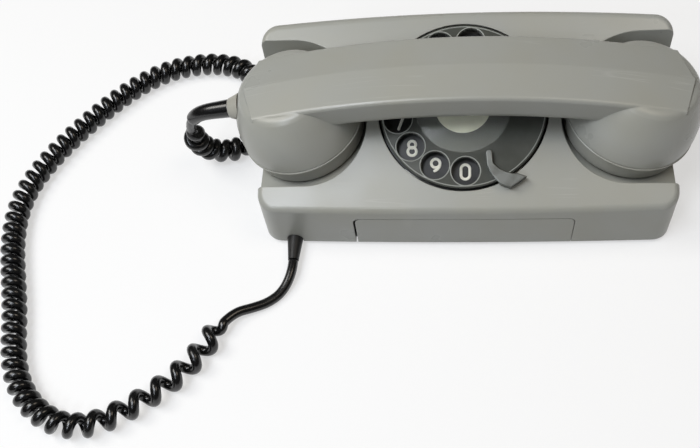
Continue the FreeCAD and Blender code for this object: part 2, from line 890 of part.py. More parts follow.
def governor_drum():
    """Fixed brake drum with the spindle's lower bearing, hung from the frame on two posts."""
    spot = polar(governor_distance, governor_angle)
    low = drum_top - drum_height
    drum = turned([
        (governor_shaft_radius + running_clearance, low - drum_wall), (drum_radius, low - drum_wall),
        (drum_radius, drum_top), (drum_radius - drum_wall, drum_top), (drum_radius - drum_wall, low),
        (governor_shaft_radius + running_clearance, low),
    ])
    drum = placed(drum, Placement(spot, Rotation(Vector(0, 0, 1), governor_angle)))
    posts = []
    for side in (-1, 1):
        offset = polar(side * (drum_radius + drum_post_radius / 2), governor_angle + 90)
        posts.append(rod(drum_post_radius, low - drum_wall, frame_low, spot.x + offset.x, spot.y + offset.y))
    drum = joined([drum, *posts])
    inside = rod(drum_radius - drum_wall, low, drum_top + 1, spot.x, spot.y)
    return drum.cut(inside)


def beside(radius, angle, offset, z):
    """A point beside a spot on a circle about the Z axis, offset along the circle's tangent."""
    return polar(radius, angle, z) + polar(offset, angle + 90)


def bowed(a, b, bow):
    """An arc edge between two points, bowed to the right of its direction."""
    chord = b - a
    across = Vector(chord.y, -chord.x, 0)
    across.normalize()
    return arc(a, (a + b) * 0.5 + across * bow, b)


def finger_stop():
    """Bent metal stop: a curved horn over the wheel and a foot down on the housing's face."""
    low = wheel_top + stop_lift
    high = low + stop_sheet
    rim = opening_radius + stop_foot_clearance
    tip, waist = stop_tip_width / 2, stop_waist_width / 2
    tips = [beside(stop_tip_radius + tip, stop_tip_angle, side * tip, low) for side in (-1, 1)]
    nose = polar(stop_tip_radius, stop_tip_angle, low)
    waists = [beside(stop_waist_radius, stop_waist_angle, side * waist, low) for side in (-1, 1)]
    roots = [polar(rim, angle, low) for angle in stop_root_angles]
    feet = [polar(stop_foot_reach, angle, low) for angle in stop_foot_angles]
    outline = Part.Wire([
        arc(tips[0], nose, tips[1]), line(tips[1], waists[1]), bowed(waists[1], roots[1], stop_root_curve),
        line(roots[1], feet[1]), line(feet[1], feet[0]), line(feet[0], roots[0]),
        bowed(roots[0], waists[0], -stop_root_curve / 2), line(waists[0], tips[0]),
    ])
    blade = Part.Face(outline).extrude(Vector(0, 0, stop_sheet))
    foot = prism([(p.x, p.y) for p in (roots[0], roots[1], feet[1], feet[0])], 0, high)
    stop = joined([blade, foot])
    upper = [e for e in stop.Edges if abs(e.CenterOfMass.z - high) < 0.01]
    return stop.makeFillet(stop_sheet / 3, upper)


# Handset, laid in its seats


def handle_section(inset):
    """Cross-section of the grip in the middle: a shallow roof, and an underside that rises to the rear."""
    w = roof_half_width - inset
    edge = crown_height - roof_drop - inset
    low = side_low + inset
    foot = w - side_lean
    points = [Vector(0, 0, crown_height - inset), Vector(0, w, edge), Vector(0, foot, low + underside_rise),
              Vector(0, -foot, low), Vector(0, -w, edge)]
    return Part.Face(Part.makePolygon([*points, points[0]]))


def arched(section, reach):
    """A section carried along the grip's arch to a distance each side of the middle."""
    centre = Vector(0, 0, crown_height - crown_radius)
    across = Vector(0, 1, 0)
    turn = math.degrees(math.asin(reach / crown_radius))
    start = section.copy()
    start.rotate(centre, across, -turn)
    return start.revolve(centre, across, 2 * turn)


def long_edges(solid, height):
    """Edges that run along the arch at a height over its middle."""
    centre = Vector(0, 0, crown_height - crown_radius)
    found = []
    for edge in solid.Edges:
        mid = edge.valueAt((edge.FirstParameter + edge.LastParameter) / 2)
        if abs(mid.x) < 1 and abs((mid - Vector(0, mid.y, 0) - centre).Length - (height - centre.z)) < 0.1:
            found.append(edge)
    return found


def dome(inset, low):
    """Outside of a cup, or its hollow when inset: a bulging taper from the rim to the grip."""
    foot = Vector(rim_radius - inset, 0, low)
    waist = Vector(dome_waist_radius - inset, 0, dome_waist_height - inset / 2)
    top = Vector(dome_top_radius - inset, 0, dome_top_height - inset)
    crown = Vector(0, 0, dome_top_height - inset)
    solid = turned_edges([line(Vector(0, 0, low), foot), arc(foot, waist, top), line(top, crown),
                          line(crown, Vector(0, 0, low))])
    brow = [e for e in solid.Edges if abs(e.BoundBox.ZMin - top.z) < 0.01 and e.BoundBox.ZLength < 0.01]
    return placed(solid.makeFillet(dome_edge_round, brow), seat_frame())


def exit_axis():
    """Start and direction of the cord exit at the left end of the handset."""
    slope = math.radians(exit_slope)
    along = Vector(-math.cos(slope), 0, -math.sin(slope))
    return Vector(-ferrule_start, exit_y, exit_height), along


def exit_tip():
    """Where the cord leaves the strain relief."""
    start, along = exit_axis()
    return start + along * (ferrule_collar + ferrule_cone + relief_length)


def handset_shell():
    """Hollow moulding: an arched grip with angled ends and two cups."""
    grip = arched(handle_section(0), crease_reach)
    grip = grip.makeFillet(roof_edge_round, long_edges(grip, crown_height - roof_drop))
    grip = grip.makeFillet(grip_edge_round, long_edges(grip, side_low))
    grip = grip.makeFillet(grip_edge_round / 2, long_edges(grip, side_low + underside_rise))
    w = 2 * roof_half_width
    chamfer = (crease_reach - corner_reach) * w / roof_half_width
    plan = [(crease_reach, 0), (crease_reach - chamfer, w), (chamfer - crease_reach, w), (-crease_reach, 0),
            (chamfer - crease_reach, -w), (crease_reach - chamfer, -w)]
    grip = grip.common(prism(plan, 0, 2 * crown_height))
    cup = dome(0, rim_height)
    shell = grip.fuse([cup, mirrored(cup)])
    hollow = dome(shell_wall, rim_height)
    shell = shell.cut(hollow).cut(mirrored(hollow))
    shell = shell.cut(arched(handle_section(shell_wall), cup_x))
    start, along = exit_axis()
    bore = Part.makeCylinder(ferrule_base_radius - 1, ferrule_cone * 2, start - along * ferrule_cone, along)
    return shell.cut(bore).removeSplitter()


def cap(rings):
    """Screwed cap with a rounded face, a sleeve inside the shell and a ring pattern of holes."""
    face, shoulder = Vector(cap_face_radius, 0, 0), Vector(cap_shoulder_radius, 0, cap_shoulder_height)
    bulge = Vector((cap_face_radius + 2.4 * cap_shoulder_radius) / 3.4, 0, cap_shoulder_height / 3.2)
    rim = Vector(cap_rim_radius, 0, cap_top)
    ledge = Vector(sleeve_radius, 0, cap_top)
    top = Vector(sleeve_radius, 0, cap_top + cap_sleeve_height)
    inner_top = Vector(sleeve_radius - cap_sleeve_wall, 0, cap_top + cap_sleeve_height)
    inner_low = Vector(sleeve_radius - cap_sleeve_wall, 0, cap_face_thickness)
    middle, foot = Vector(0, 0, cap_face_thickness), Vector(0, 0, 0)
    outside = [line(foot, face), arc(face, bulge, shoulder), line(shoulder, rim), line(rim, ledge)]
    inside = [line(ledge, top), line(top, inner_top), line(inner_top, inner_low), line(inner_low, middle)]
    solid = turned_edges([*outside, *inside, line(middle, foot)])
    holes = [rod(cap_hole_radius, -1, cap_face_thickness + 1)]
    for count, radius in rings:
        for k in range(count):
            spot = polar(radius, 360.0 * k / count)
            holes.append(rod(cap_hole_radius, -1, cap_face_thickness + 1, spot.x, spot.y))
    return placed(solid.cut(holes), seat_frame())


def receiver_capsule():
    """Ear capsule resting on the cap's face, with a stepped back."""
    low, high = cap_face_thickness, cap_face_thickness + receiver_height
    r = receiver_radius
    step = low + receiver_height / 2
    back = receiver_back_radius
    capsule = turned([(0, low), (r, low), (r, step), (back, step), (back, high), (0, high)])
    return placed(capsule, seat_frame())


def transmitter_capsule():
    """Mouth capsule resting on the cap's face, with a button contact on its back."""
    low, high = cap_face_thickness, cap_face_thickness + transmitter_height
    r = transmitter_radius
    step = low + transmitter_height / 3
    return placed(turned([(0, low), (r, low), (r, step), (0.6 * r, high), (0, high)]), seat_frame())


def transmitter_holder():
    """Moulded disc behind the mouth capsule that carries its contacts."""
    low = cap_face_thickness + transmitter_height
    r = transmitter_radius - cap_clearance
    return placed(ring(r, r / 3, low, low + holder_height), seat_frame())


def handset_ferrule():
    """Bush in the shell's end where the cord comes out: a collar inside and a cone outside."""
    start, along = exit_axis()
    neck_radius = ferrule_base_radius - 1 - running_clearance
    neck = Part.makeCylinder(neck_radius, ferrule_collar, start, along)
    shoulder = start + along * ferrule_collar
    cone = Part.makeCone(ferrule_base_radius, ferrule_tip_radius, ferrule_cone, shoulder, along)
    bore = Part.makeCylinder(relief_tip_radius, ferrule_collar + ferrule_cone, start, along)
    hollow = dome(0, rim_height)
    return joined([neck, cone.cut(mirrored(hollow))]).cut(bore)


def handset_strain_relief():
    """Tapered rubber sleeve from the ferrule to the free cord."""
    _, along = exit_axis()
    base = exit_tip() - along * relief_length
    return Part.makeCone(relief_radius, relief_tip_radius, relief_length, base, along)


# Hook switch


def hook_plunger(side):
    """Push pin through the seat's floor with a retaining flange under it."""
    top = seat_height - plunger_sink
    low = top - plunger_length
    pin = rod(plunger_radius, low, top, side * cup_x, 0)
    flange = rod(plunger_flange_radius, low, low + plunger_flange_height, side * cup_x, 0)
    pin = joined([pin, flange])
    upper = [e for e in pin.Edges if abs(e.CenterOfMass.z - top) < 0.01]
    return pin.makeFillet(plunger_radius / 4, upper)


def bail_arm_top():
    """Height of the arms that carry the plungers."""
    return seat_height - plunger_sink - plunger_length - seat_clearance


def hook_bail():
    """Rocking shaft with an arm under each plunger and one for the contacts."""
    half = bail_arm_width / 2
    reach = cup_x + half
    shaft = rod_along_x(bail_radius, -reach, reach, bail_y, bail_height)
    arms = []
    top = bail_arm_top()
    for side in (-1, 1):
        x = side * cup_x
        arms.append(block(x - half, x + half, bail_y, bail_arm_overlap, top - bail_arm_sheet, top))
        arms.append(block(x - half, x + half, bail_y - bail_radius, bail_y + bail_radius, bail_height, top))
    x = hook_contact_x
    reach = hook_block_y - hook_block_length
    arms.append(block(x - 1, x + 1, bail_y, reach, bail_height, bail_height + bail_radius))
    return joined([shaft, *arms])


def hook_bracket(side):
    """Upright ear with a foot on the base plate, bored for the rocking shaft."""
    x = side * bracket_x
    half = bracket_width / 2
    ear = block(x - bracket_sheet / 2, x + bracket_sheet / 2, bail_y - half, bail_y + half, plate_top,
                bail_height + half)
    inward = x - side * bracket_width
    left, right = min(x, inward), max(x, inward)
    foot = block(left, right, bail_y - half, bail_y + half, plate_top, plate_top + bracket_sheet)
    hole = rod_along_x(bail_radius + running_clearance, x - half, x + half, bail_y, bail_height)
    return joined([ear, foot]).cut(hole)


def hook_contacts():
    """Contact pile on the base plate with leaves under the bail's short arm."""
    x = hook_contact_x
    half = hook_block_width / 2
    front, back = hook_block_y - hook_block_length / 2, hook_block_y + hook_block_length / 2
    pile = block(x - half, x + half, front, back, plate_top, bail_height - leaf_gap)
    tip = bail_y + bail_arm_width
    leaves = []
    for k in (1, 3):
        high = bail_height - leaf_gap - k * 2 * leaf_sheet
        leaves.append(block(x - half / 2, x + half / 2, tip, hook_block_y, high - leaf_sheet, high))
    return joined([pile, *leaves])


# Electrical parts


def network_block():
    """Potted network with a stepped terminal deck."""
    left, right = network_x - network_length / 2, network_x + network_length / 2
    body = block(left, right, network_front, network_rear, plate_top, plate_top + network_height)
    upright = [e for e in body.Edges if abs(e.Vertexes[0].Z - e.Vertexes[-1].Z) > wall]
    return body.makeFillet(wall / 2, upright)


def terminal_screw(column, row):
    """Cheese-head terminal screw on the network's deck."""
    x = network_x + (column - (terminal_columns - 1) / 2) * terminal_pitch
    y = network_y + (row - (terminal_rows - 1) / 2) * 2 * terminal_pitch
    low = plate_top + network_height
    head = rod(terminal_radius, low, low + terminal_height, x, y)
    slot = block(x - terminal_radius, x + terminal_radius, y - leaf_sheet / 2, y + leaf_sheet / 2,
                 low + terminal_height / 2, low + 2 * terminal_height)
    return head.cut(slot)


def capacitor():
    """Can lying along the rear of the base plate in a saddle."""
    axis = plate_top + capacitor_strap + capacitor_radius
    can = rod_along_x(capacitor_radius, -capacitor_length / 2, capacitor_length / 2, capacitor_y, axis)
    ends = [e for e in can.Edges if e.Curve.TypeId == "Part::GeomCircle"]
    can = can.makeFillet(1.0, ends)
    saddle = block(-capacitor_length / 4, capacitor_length / 4, capacitor_y - capacitor_radius,
                   capacitor_y + capacitor_radius, plate_top, axis - capacitor_radius / 2)
    return joined([can, saddle])


# Ringer


def gong():
    """Hollow bell, mouth down, screwed on its post."""
    high = plate_top + gong_lift + gong_height
    low = plate_top + gong_lift
    r = gong_radius
    outer_foot, outer_mid = Vector(r, 0, low), Vector(0.86 * r, 0, low + 0.72 * gong_height)
    outer_top = Vector(0.5 * r, 0, high)
    inner_foot = Vector(r - gong_wall, 0, low)
    inner_mid = Vector(0.86 * r - gong_wall, 0, low + 0.72 * gong_height - gong_wall / 2)
    inner_top = Vector(0.5 * r - gong_wall / 2, 0, high - gong_wall)
    bore_top, bore_low = Vector(screw_radius, 0, high), Vector(screw_radius, 0, high - gong_wall)
    bell = turned_edges([
        arc(outer_foot, outer_mid, outer_top), line(outer_top, bore_top), line(bore_top, bore_low),
        line(bore_low, inner_top), arc(inner_top, inner_mid, inner_foot), line(inner_foot, outer_foot),
    ])
    bell.translate(Vector(gong_x, gong_y, 0))
    return bell


def gong_post():
    """Stepped post and screw that hold the gong off the base plate."""
    high = plate_top + gong_lift + gong_height
    post = turned([
        (0, plate_top), (gong_post_radius, plate_top), (gong_post_radius, high - gong_wall),
        (screw_radius, high - gong_wall), (screw_radius, high), (screw_head_radius, high),
        (screw_head_radius, high + screw_head_height), (0, high + screw_head_height),
    ])
    post.translate(Vector(gong_x, gong_y, 0))
    return post


def ringer_coil():
    """Wound bobbin on the core between the yoke's ends."""
    half = coil_length / 2
    body = rod_along_y(coil_radius - 1, coil_y - half, coil_y + half, coil_x, coil_axis_height)
    cheeks = []
    for y in (coil_y - half, coil_y + half - 1):
        cheeks.append(rod_along_y(coil_radius, y, y + 1, coil_x, coil_axis_height))
    solid = joined([body, *cheeks])
    front, back = coil_y - half - 1, coil_y + half + 1
    return solid.cut(rod_along_y(core_radius, front, back, coil_x, coil_axis_height))


def ringer_core():
    """Iron core through the bobbin, flush with the yoke's front end."""
    reach = coil_length / 2 + yoke_sheet
    return rod_along_y(core_radius, coil_y - reach, coil_y + reach, coil_x, coil_axis_height)


def ringer_frame():
    """U-shaped yoke on the base plate with ears for the clapper's pivot."""
    half = coil_length / 2
    left, right = coil_x - yoke_width / 2, coil_x + yoke_width / 2
    front, back = coil_y - half, coil_y + half
    top = coil_axis_height + core_radius + 2
    floor_back = armature_y + yoke_sheet
    floor = block(left, right, front - yoke_sheet, floor_back, plate_top, plate_top + yoke_sheet)
    front_end = block(left, right, front - yoke_sheet, front, plate_top, top)
    rear_end = block(left, right, back, back + yoke_sheet, plate_top, top)
    pin = rod(pivot_radius, plate_top + yoke_sheet, top, coil_x, armature_y)
    frame = joined([floor, front_end, rear_end, pin])
    bore = rod_along_y(core_radius, front - 2 * yoke_sheet, back + 2 * yoke_sheet, coil_x, coil_axis_height)
    return frame.cut(bore)


def clapper():
    """Armature rocking on the yoke's pin, with a rod and ball beside the gong."""
    low = plate_top + yoke_sheet + running_clearance * 2
    high = low + armature_height
    half = armature_length / 2
    sheet = armature_sheet / 2
    bar = block(coil_x - half, coil_x + half, armature_y - sheet, armature_y + sheet, low, high)
    sleeve = rod(armature_boss, low, high, coil_x, armature_y)
    reach = gong_radius + clapper_gap + clapper_ball_radius
    ball_middle = Vector(gong_x, gong_y, (low + high) / 2) + polar(reach, clapper_bearing)
    ball = Part.makeSphere(clapper_ball_radius, ball_middle)
    root = Vector(coil_x - half + armature_sheet, armature_y, (low + high) / 2)
    stem = Part.makeCylinder(clapper_rod_radius, (ball_middle - root).Length, root, ball_middle - root)
    solid = joined([bar, sleeve, ball, stem])
    return solid.cut(rod(pivot_radius + running_clearance, low - 1, high + 1, coil_x, armature_y))


# Cord


class Route:
    """Straight runs joined by tangent arcs, measured along its length."""

    def __init__(self, points):
        self.points = [Vector(*p) for p in points]
        self.pieces = []
        self.radii = []
        cursor = self.points[0]
        for before, corner, after in zip(self.points, self.points[1:], self.points[2:]):
            into, out = (corner - before), (after - corner)
            turn = into.getAngle(out)
            reach = 0.45 * min(into.Length, out.Length)
            self.radii.append(reach / math.tan(turn / 2))
            into.normalize()
            out.normalize()
            start, end = corner - into * reach, corner + out * reach
            self.add_line(cursor, start)
            self.add_arc(start, end, into, turn, self.radii[-1], out)
            cursor = end
        self.add_line(cursor, self.points[-1])
        self.length = sum(piece["length"] for piece in self.pieces)

    def add_line(self, a, b):
        along = (b - a)
        length = along.Length
        along.normalize()
        self.pieces.append({"a": a, "b": b, "length": length, "along": along})

    def add_arc(self, a, b, into, turn, radius, out):
        side = (out - into * out.dot(into))
        side.normalize()
        self.pieces.append({"a": a, "b": b, "length": radius * turn, "along": into, "side": side,
                            "radius": radius})

    def at(self, distance):
        """Point and direction at a distance along the route."""
        for piece in self.pieces:
            if distance <= piece["length"] or piece is self.pieces[-1]:
                break
            distance -= piece["length"]
        along = piece["along"]
        if "radius" not in piece:
            return piece["a"] + along * distance, along
        radius, side = piece["radius"], piece["side"]
        turn = distance / radius
        point = piece["a"] + along * (radius * math.sin(turn)) + side * (radius * (1 - math.cos(turn)))
        return point, along * math.cos(turn) + side * math.sin(turn)

    def edges(self):
        """The route as line and arc edges."""
        made = []
        for piece in self.pieces:
            if "radius" in piece:
                half_turn = 0.5 * piece["length"] / piece["radius"]
                into = piece["along"] * (piece["radius"] * math.sin(half_turn))
                across = piece["side"] * (piece["radius"] * (1 - math.cos(half_turn)))
                made.append(arc(piece["a"], piece["a"] + into + across, piece["b"]))
            else:
                made.append(line(piece["a"], piece["b"]))
        return made


def cord_stretches():
    """Points of the handset's tail, of the curls and of the base's tail, which meet halfway along a run."""
    _, along = exit_axis()
    leave, arrive = exit_tip(), inlet_tip()
    end = Vector(-body_width / 2, 0, 0)
    resting = curl_diameter / 2 + curl_rest_gap
    fall = [end + Vector(*p) for p in curl_fall_points]
    curls = [*fall, *(end + Vector(x, y, resting) for x, y in curl_desk_points)]
    down = [end + Vector(*p) for p in handset_tail_points]
    back = [end + Vector(*p) for p in base_tail_points]
    first = (down[-1] + curls[0]) * 0.5
    last = (curls[-1] + back[0]) * 0.5
    handset_tail = [leave, leave + along * exit_lead, *down, first]
    onward = back[0] - last
    onward.normalize()
    base_tail = [last + onward * cord_joint_gap, *back, arrive - Vector(0, inlet_lead, 0), arrive]
    return handset_tail, [first, *curls, last], base_tail


def tube(edges, start, along, radius):
    """A round tube along a chain of edges."""
    section = Part.Wire([Part.Circle(start, along, radius).toShape()])
    return Part.Wire(edges).makePipeShell([section], True, False)


def plain_cord(points, name):
    """A free stretch of cord, its radii printed and its volume compared with section times length."""
    route = Route(points)
    solid = tube(route.edges(), route.points[0], route.pieces[0]["along"], cord_diameter / 2)
    expected = math.pi * cord_diameter ** 2 / 4 * route.length
    print(name, "length", round(route.length, 1), "radii", [round(r, 1) for r in route.radii],
          "volume share", round(solid.Volume / expected, 4))
    return solid


def biarc(p, t, q, u):
    """Two arcs from point p along t to point q along u, with their radii."""
    v = q - p
    s = t + u
    a = 2 * (1 - t.dot(u))
    b = v.dot(s)
    c = v.dot(v)
    if a < 1e-9:
        d = c / (2 * b)
    else:
        d = (math.sqrt(b * b + a * c) - b) / a
    middle = (p + q + (t - u) * d) * 0.5
    found = []
    for start, along, end in ((p, t, middle), (middle, None, q)):
        if along is None:
            along = (q - u * d) - (p + t * d)
            along.normalize()
        chord = end - start
        bend = along.getAngle(chord)
        side = chord - along * along.dot(chord)
        if bend < 1e-4:
            found.append((line(start, end), 1e9))
            continue
        side.normalize()
        radius = chord.Length / (2 * math.sin(bend))
        half = start + along * (radius * math.sin(bend)) + side * (radius * (1 - math.cos(bend)))
        found.append((arc(start, half, end), radius))
    return found


def smooth(share):
    """A step from 0 to 1 with level ends."""
    share = min(1.0, max(0.0, share))
    return share * share * (3 - 2 * share)


def curl_pitch(share):
    """Pitch of the curls at a share of the coil's length: looser where they begin and towards the base."""
    looser = smooth((share - curl_loosens_from) / (1 - curl_loosens_from))
    opening = smooth(1 - share / curl_opens_over)
    return curl_pitch_tight + (curl_pitch_loose - curl_pitch_tight) * max(looser, opening)


def curl_line(points):
    """The curled wire as close points, and as knots for arcs, with a straight lead at each end."""
    route = Route(points)
    lead = curl_lead
    span = route.length - 2 * lead
    turns = [0.0]
    for k in range(curl_steps):
        turns.append(turns[-1] + span / curl_steps / curl_pitch((k + 0.5) / curl_steps))
    whole = math.floor(turns[-1])
    normal = Vector(0, 0, 1)
    wire, phases = [], []
    for k, turn in enumerate(turns):
        point, along = route.at(lead + span * k / curl_steps)
        normal = normal - along * normal.dot(along)
        normal.normalize()
        phase = turn * whole / turns[-1]
        ramp = min(smooth(phase / curl_ramp_turns), smooth((whole - phase) / curl_ramp_turns))
        swing = 2 * math.pi * phase
        offset = normal * math.cos(swing) - along.cross(normal) * math.sin(swing)
        wire.append(point + offset * (curl_radius * ramp))
        phases.append(phase)
    starts = [route.at(0), route.at(lead)]
    finish = [route.at(route.length - lead), route.at(route.length)]
    knots = [starts[1]]
    for k in range(1, curl_steps):
        ramping = phases[k] < curl_ramp_turns or whole - phases[k] < curl_ramp_turns + 0.5
        per_turn = 4 if ramping else 2
        if math.floor(phases[k] * per_turn) > math.floor(phases[k - 1] * per_turn):
            direction = wire[k + 1] - wire[k - 1]
            direction.normalize()
            knots.append((wire[k], direction))
    knots.append(finish[0])
    return starts[0], finish[1], knots, wire, whole


def least_gap(wire):
    """Least clear distance between stretches of a wire, on points, leaving out near neighbours along it."""
    picked = wire[::4]
    run = [0.0]
    for a, b in zip(picked, picked[1:]):
        run.append(run[-1] + (b - a).Length)
    cell = 2 * cord_diameter
    grid = {}
    for k, p in enumerate(picked):
        grid.setdefault((int(p.x // cell), int(p.y // cell), int(p.z // cell)), []).append(k)
    least = cell
    steps = (-1, 0, 1)
    for (i, j, m), members in grid.items():
        cells = [(i + x, j + y, m + z) for x in steps for y in steps for z in steps]
        near = [k for key in cells for k in grid.get(key, ())]
        for a in members:
            others = [b for b in near if run[b] - run[a] > 3 * cord_diameter]
            least = min([least, *((picked[a] - picked[b]).Length for b in others)])
    return least - cord_diameter


def curly_cord(points):
    """The curled stretch as one unbroken tube on biarcs of half a turn, or a quarter at its ends."""
    start, finish, knots, wire, turns = curl_line(points)
    edges = [line(start[0], knots[0][0])]
    tightest = curl_diameter
    for (p, t), (q, u) in zip(knots, knots[1:]):
        for edge, radius in biarc(p, t, q, u):
            edges.append(edge)
            tightest = min(tightest, radius)
    edges.append(line(knots[-1][0], finish[0]))
    solid = tube(edges, start[0], start[1], cord_diameter / 2)
    length = sum(edge.Length for edge in edges)
    print("curly_cord turns", turns, "wire length", round(length, 1), "tightest radius", round(tightest, 2),
          "least gap", round(least_gap(wire), 2), "volume share",
          round(solid.Volume / (math.pi * cord_diameter ** 2 / 4 * length), 4))
    return solid


def hook_spring():
    """Torsion spring wound about the rocking shaft."""
    axis = Vector(0, bail_y, bail_height)
    steps = 4 * hook_spring_turns
    knots = []
    for k in range(steps + 1):
        swing = 2 * math.pi * k / 4
        x = (k / steps - 0.5) * hook_spring_turns * hook_spring_pitch
        point = axis + Vector(x, hook_spring_radius * math.cos(swing), hook_spring_radius * math.sin(swing))
        rise = hook_spring_pitch / (2 * math.pi)
        along = Vector(rise, -hook_spring_radius * math.sin(swing), hook_spring_radius * math.cos(swing))
        along.normalize()
        knots.append((point, along))
    edges = []
    for (p, t), (q, u) in zip(knots, knots[1:]):
        edges += [edge for edge, _ in biarc(p, t, q, u)]
    foot = knots[0][0] - knots[0][1] * (knots[0][0].z - plate_top)
    edges.insert(0, line(foot, knots[0][0]))
    along = knots[0][1]
    return tube(edges, foot, along, hook_spring_wire / 2)


def main():
    os.makedirs("parts", exist_ok=True)
    outer, inner = outer_form(), inner_form()
    save("housing", housing(outer, inner))
    save("access_panel", access_panel(outer, inner))
    save("base_plate", base_plate())
    save("rubber_feet", *[rubber_foot(x, y) for x, y in foot_places()])
    save("base_screws", *[base_screw(x, y) for x, y in boss_places()])
    save("base_grommet", base_grommet())

    on_dial = {
        "finger_wheel": [finger_wheel()],
        "number_card": [number_card()],
        "card_retainer": [card_retainer()],
        "number_plate": [number_plate()],
        "dial_frame": [dial_frame()],
        "dial_screws": [dial_screw(angle) for angle in ear_angles],
        "dial_shaft": [dial_shaft()],
        "mainspring": [mainspring()],
        "main_gear": [main_gear()],
        "impulse_cam": [impulse_cam()],
        "impulse_contacts": [impulse_contacts()],
        "governor_pinion": [governor_pinion()],
        "governor_weights": [governor_weights()],
        "governor_drum": [governor_drum()],
        "finger_stop": [finger_stop()],
    }
    for name, solids in on_dial.items():
        save(name, *[placed(solid, dial_frame_place) for solid in solids])

    save("handset_shell", handset_shell())
    save("mouthpiece_cap", mirrored(cap(cap_hole_rings)))
    save("earpiece_cap", cap(cap_hole_rings[:1]))
    save("receiver_capsule", receiver_capsule())
    save("transmitter_capsule", mirrored(transmitter_capsule()))
    save("transmitter_holder", mirrored(transmitter_holder()))
    save("handset_ferrule", handset_ferrule())
    save("handset_strain_relief", handset_strain_relief())

    save("hook_plungers", hook_plunger(-1), hook_plunger(1))
    save("hook_bail", hook_bail())
    save("hook_brackets", hook_bracket(-1), hook_bracket(1))
    save("hook_contacts", hook_contacts())
    save("hook_spring", hook_spring())

    save("network_block", network_block())
    terminals = [terminal_screw(c, r) for c in range(terminal_columns) for r in range(terminal_rows)]
    save("terminal_screws", *terminals)
    save("capacitor", capacitor())
    save("gong", gong())
    save("gong_post", gong_post())
    save("ringer_coil", ringer_coil())
    save("ringer_core", ringer_core())
    save("ringer_frame", ringer_frame())
    save("clapper", clapper())

    handset_tail, curls, base_tail = cord_stretches()
    save("handset_cord_tail", plain_cord(handset_tail, "handset_cord_tail"))
    save("curly_cord", curly_cord(curls))
    save("base_cord_tail", plain_cord(base_tail, "base_cord_tail"))


main()
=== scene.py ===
"""Looks of a rotary desk telephone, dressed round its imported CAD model.

Every length in a class field is in millimetres, and meshes are in metres in the CAD's own frame: +X to the user's
right along the handset, -Y towards the user, +Z up, with the origin on the desk under the middle of the base.
"""

import json
import logging
import math
from dataclasses import dataclass
from enum import Enum
from typing import Any, Iterable

import bpy
import numpy as np
from mathutils import Euler, Matrix, Vector

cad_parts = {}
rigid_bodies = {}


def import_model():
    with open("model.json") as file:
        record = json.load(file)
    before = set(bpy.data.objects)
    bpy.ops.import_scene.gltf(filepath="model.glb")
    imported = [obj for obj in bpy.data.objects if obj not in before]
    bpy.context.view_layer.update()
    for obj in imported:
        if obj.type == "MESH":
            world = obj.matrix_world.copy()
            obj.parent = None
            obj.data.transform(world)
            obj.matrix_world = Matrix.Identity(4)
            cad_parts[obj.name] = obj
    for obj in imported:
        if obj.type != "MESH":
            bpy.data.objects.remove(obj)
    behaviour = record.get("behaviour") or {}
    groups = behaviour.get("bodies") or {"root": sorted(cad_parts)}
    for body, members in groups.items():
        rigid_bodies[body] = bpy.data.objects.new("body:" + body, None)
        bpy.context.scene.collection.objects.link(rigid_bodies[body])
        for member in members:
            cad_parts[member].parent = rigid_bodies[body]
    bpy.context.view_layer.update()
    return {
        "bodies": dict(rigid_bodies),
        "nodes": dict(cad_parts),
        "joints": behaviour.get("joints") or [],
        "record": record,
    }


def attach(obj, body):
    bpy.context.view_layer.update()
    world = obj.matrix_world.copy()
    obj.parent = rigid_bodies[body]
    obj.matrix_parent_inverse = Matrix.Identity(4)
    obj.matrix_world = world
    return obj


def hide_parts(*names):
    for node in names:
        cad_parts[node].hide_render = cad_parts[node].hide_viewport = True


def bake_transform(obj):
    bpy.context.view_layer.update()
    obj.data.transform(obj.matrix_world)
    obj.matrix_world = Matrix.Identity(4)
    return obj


LOG = logging.getLogger("telephone")
MM = 0.001

UP = np.array([0.0, 0.0, 1.0])
WHITE = (1.0, 1.0, 1.0, 1.0)
NOISE_MIDDLE = 0.5
EDGE_SAMPLES = 6
# Places of the two colours and of the mixed colour among the sockets of a Mix node.
PLAIN, OTHER, MIXED = 6, 7, 2

Range = tuple[float, float]
Triple = tuple[float, float, float]
Points = tuple[tuple[float, ...], ...]
Grid = tuple[np.ndarray, np.ndarray]
Tree = bpy.types.NodeTree
Node = bpy.types.Node
Socket = bpy.types.NodeSocket


class Body(Enum):
    """Bodies of the CAD model that new pieces ride on."""

    BASE = "base"
    HANDSET = "handset"
    WHEEL = "dial_wheel"


class Slot(Enum):
    """Names of material slots in the record; nothing in this script reads them."""

    CORD = "cord"
    NUMERALS = "card"
    CAPS = "cap_plastic"
    WHEEL = "clear_plastic"


class Grain(Enum):
    """Direction in which a metal was worked."""

    ALONG_X = (0.06, 1.0, 1.0)
    ALONG_Y = (1.0, 0.06, 1.0)


# Small tools


def linear(code: str) -> tuple[float, float, float, float]:
    """Turn an sRGB hex colour into linear light.

    Args:
        code: Colour as #rrggbb.

    Returns:
        Linear red, green, blue and an alpha of 1.
    """
    parts = np.array([int(code[k : k + 2], 16) for k in (1, 3, 5)]) / 255
    light = np.where(parts <= 0.04045, parts / 12.92, ((parts + 0.055) / 1.055) ** 2.4)
    return (*(float(c) for c in light), 1.0)


def per_mm(size: float) -> float:
    """Texture scale at which a pattern repeats about once in a size given in millimetres."""
    return 1.0 / (size * MM)


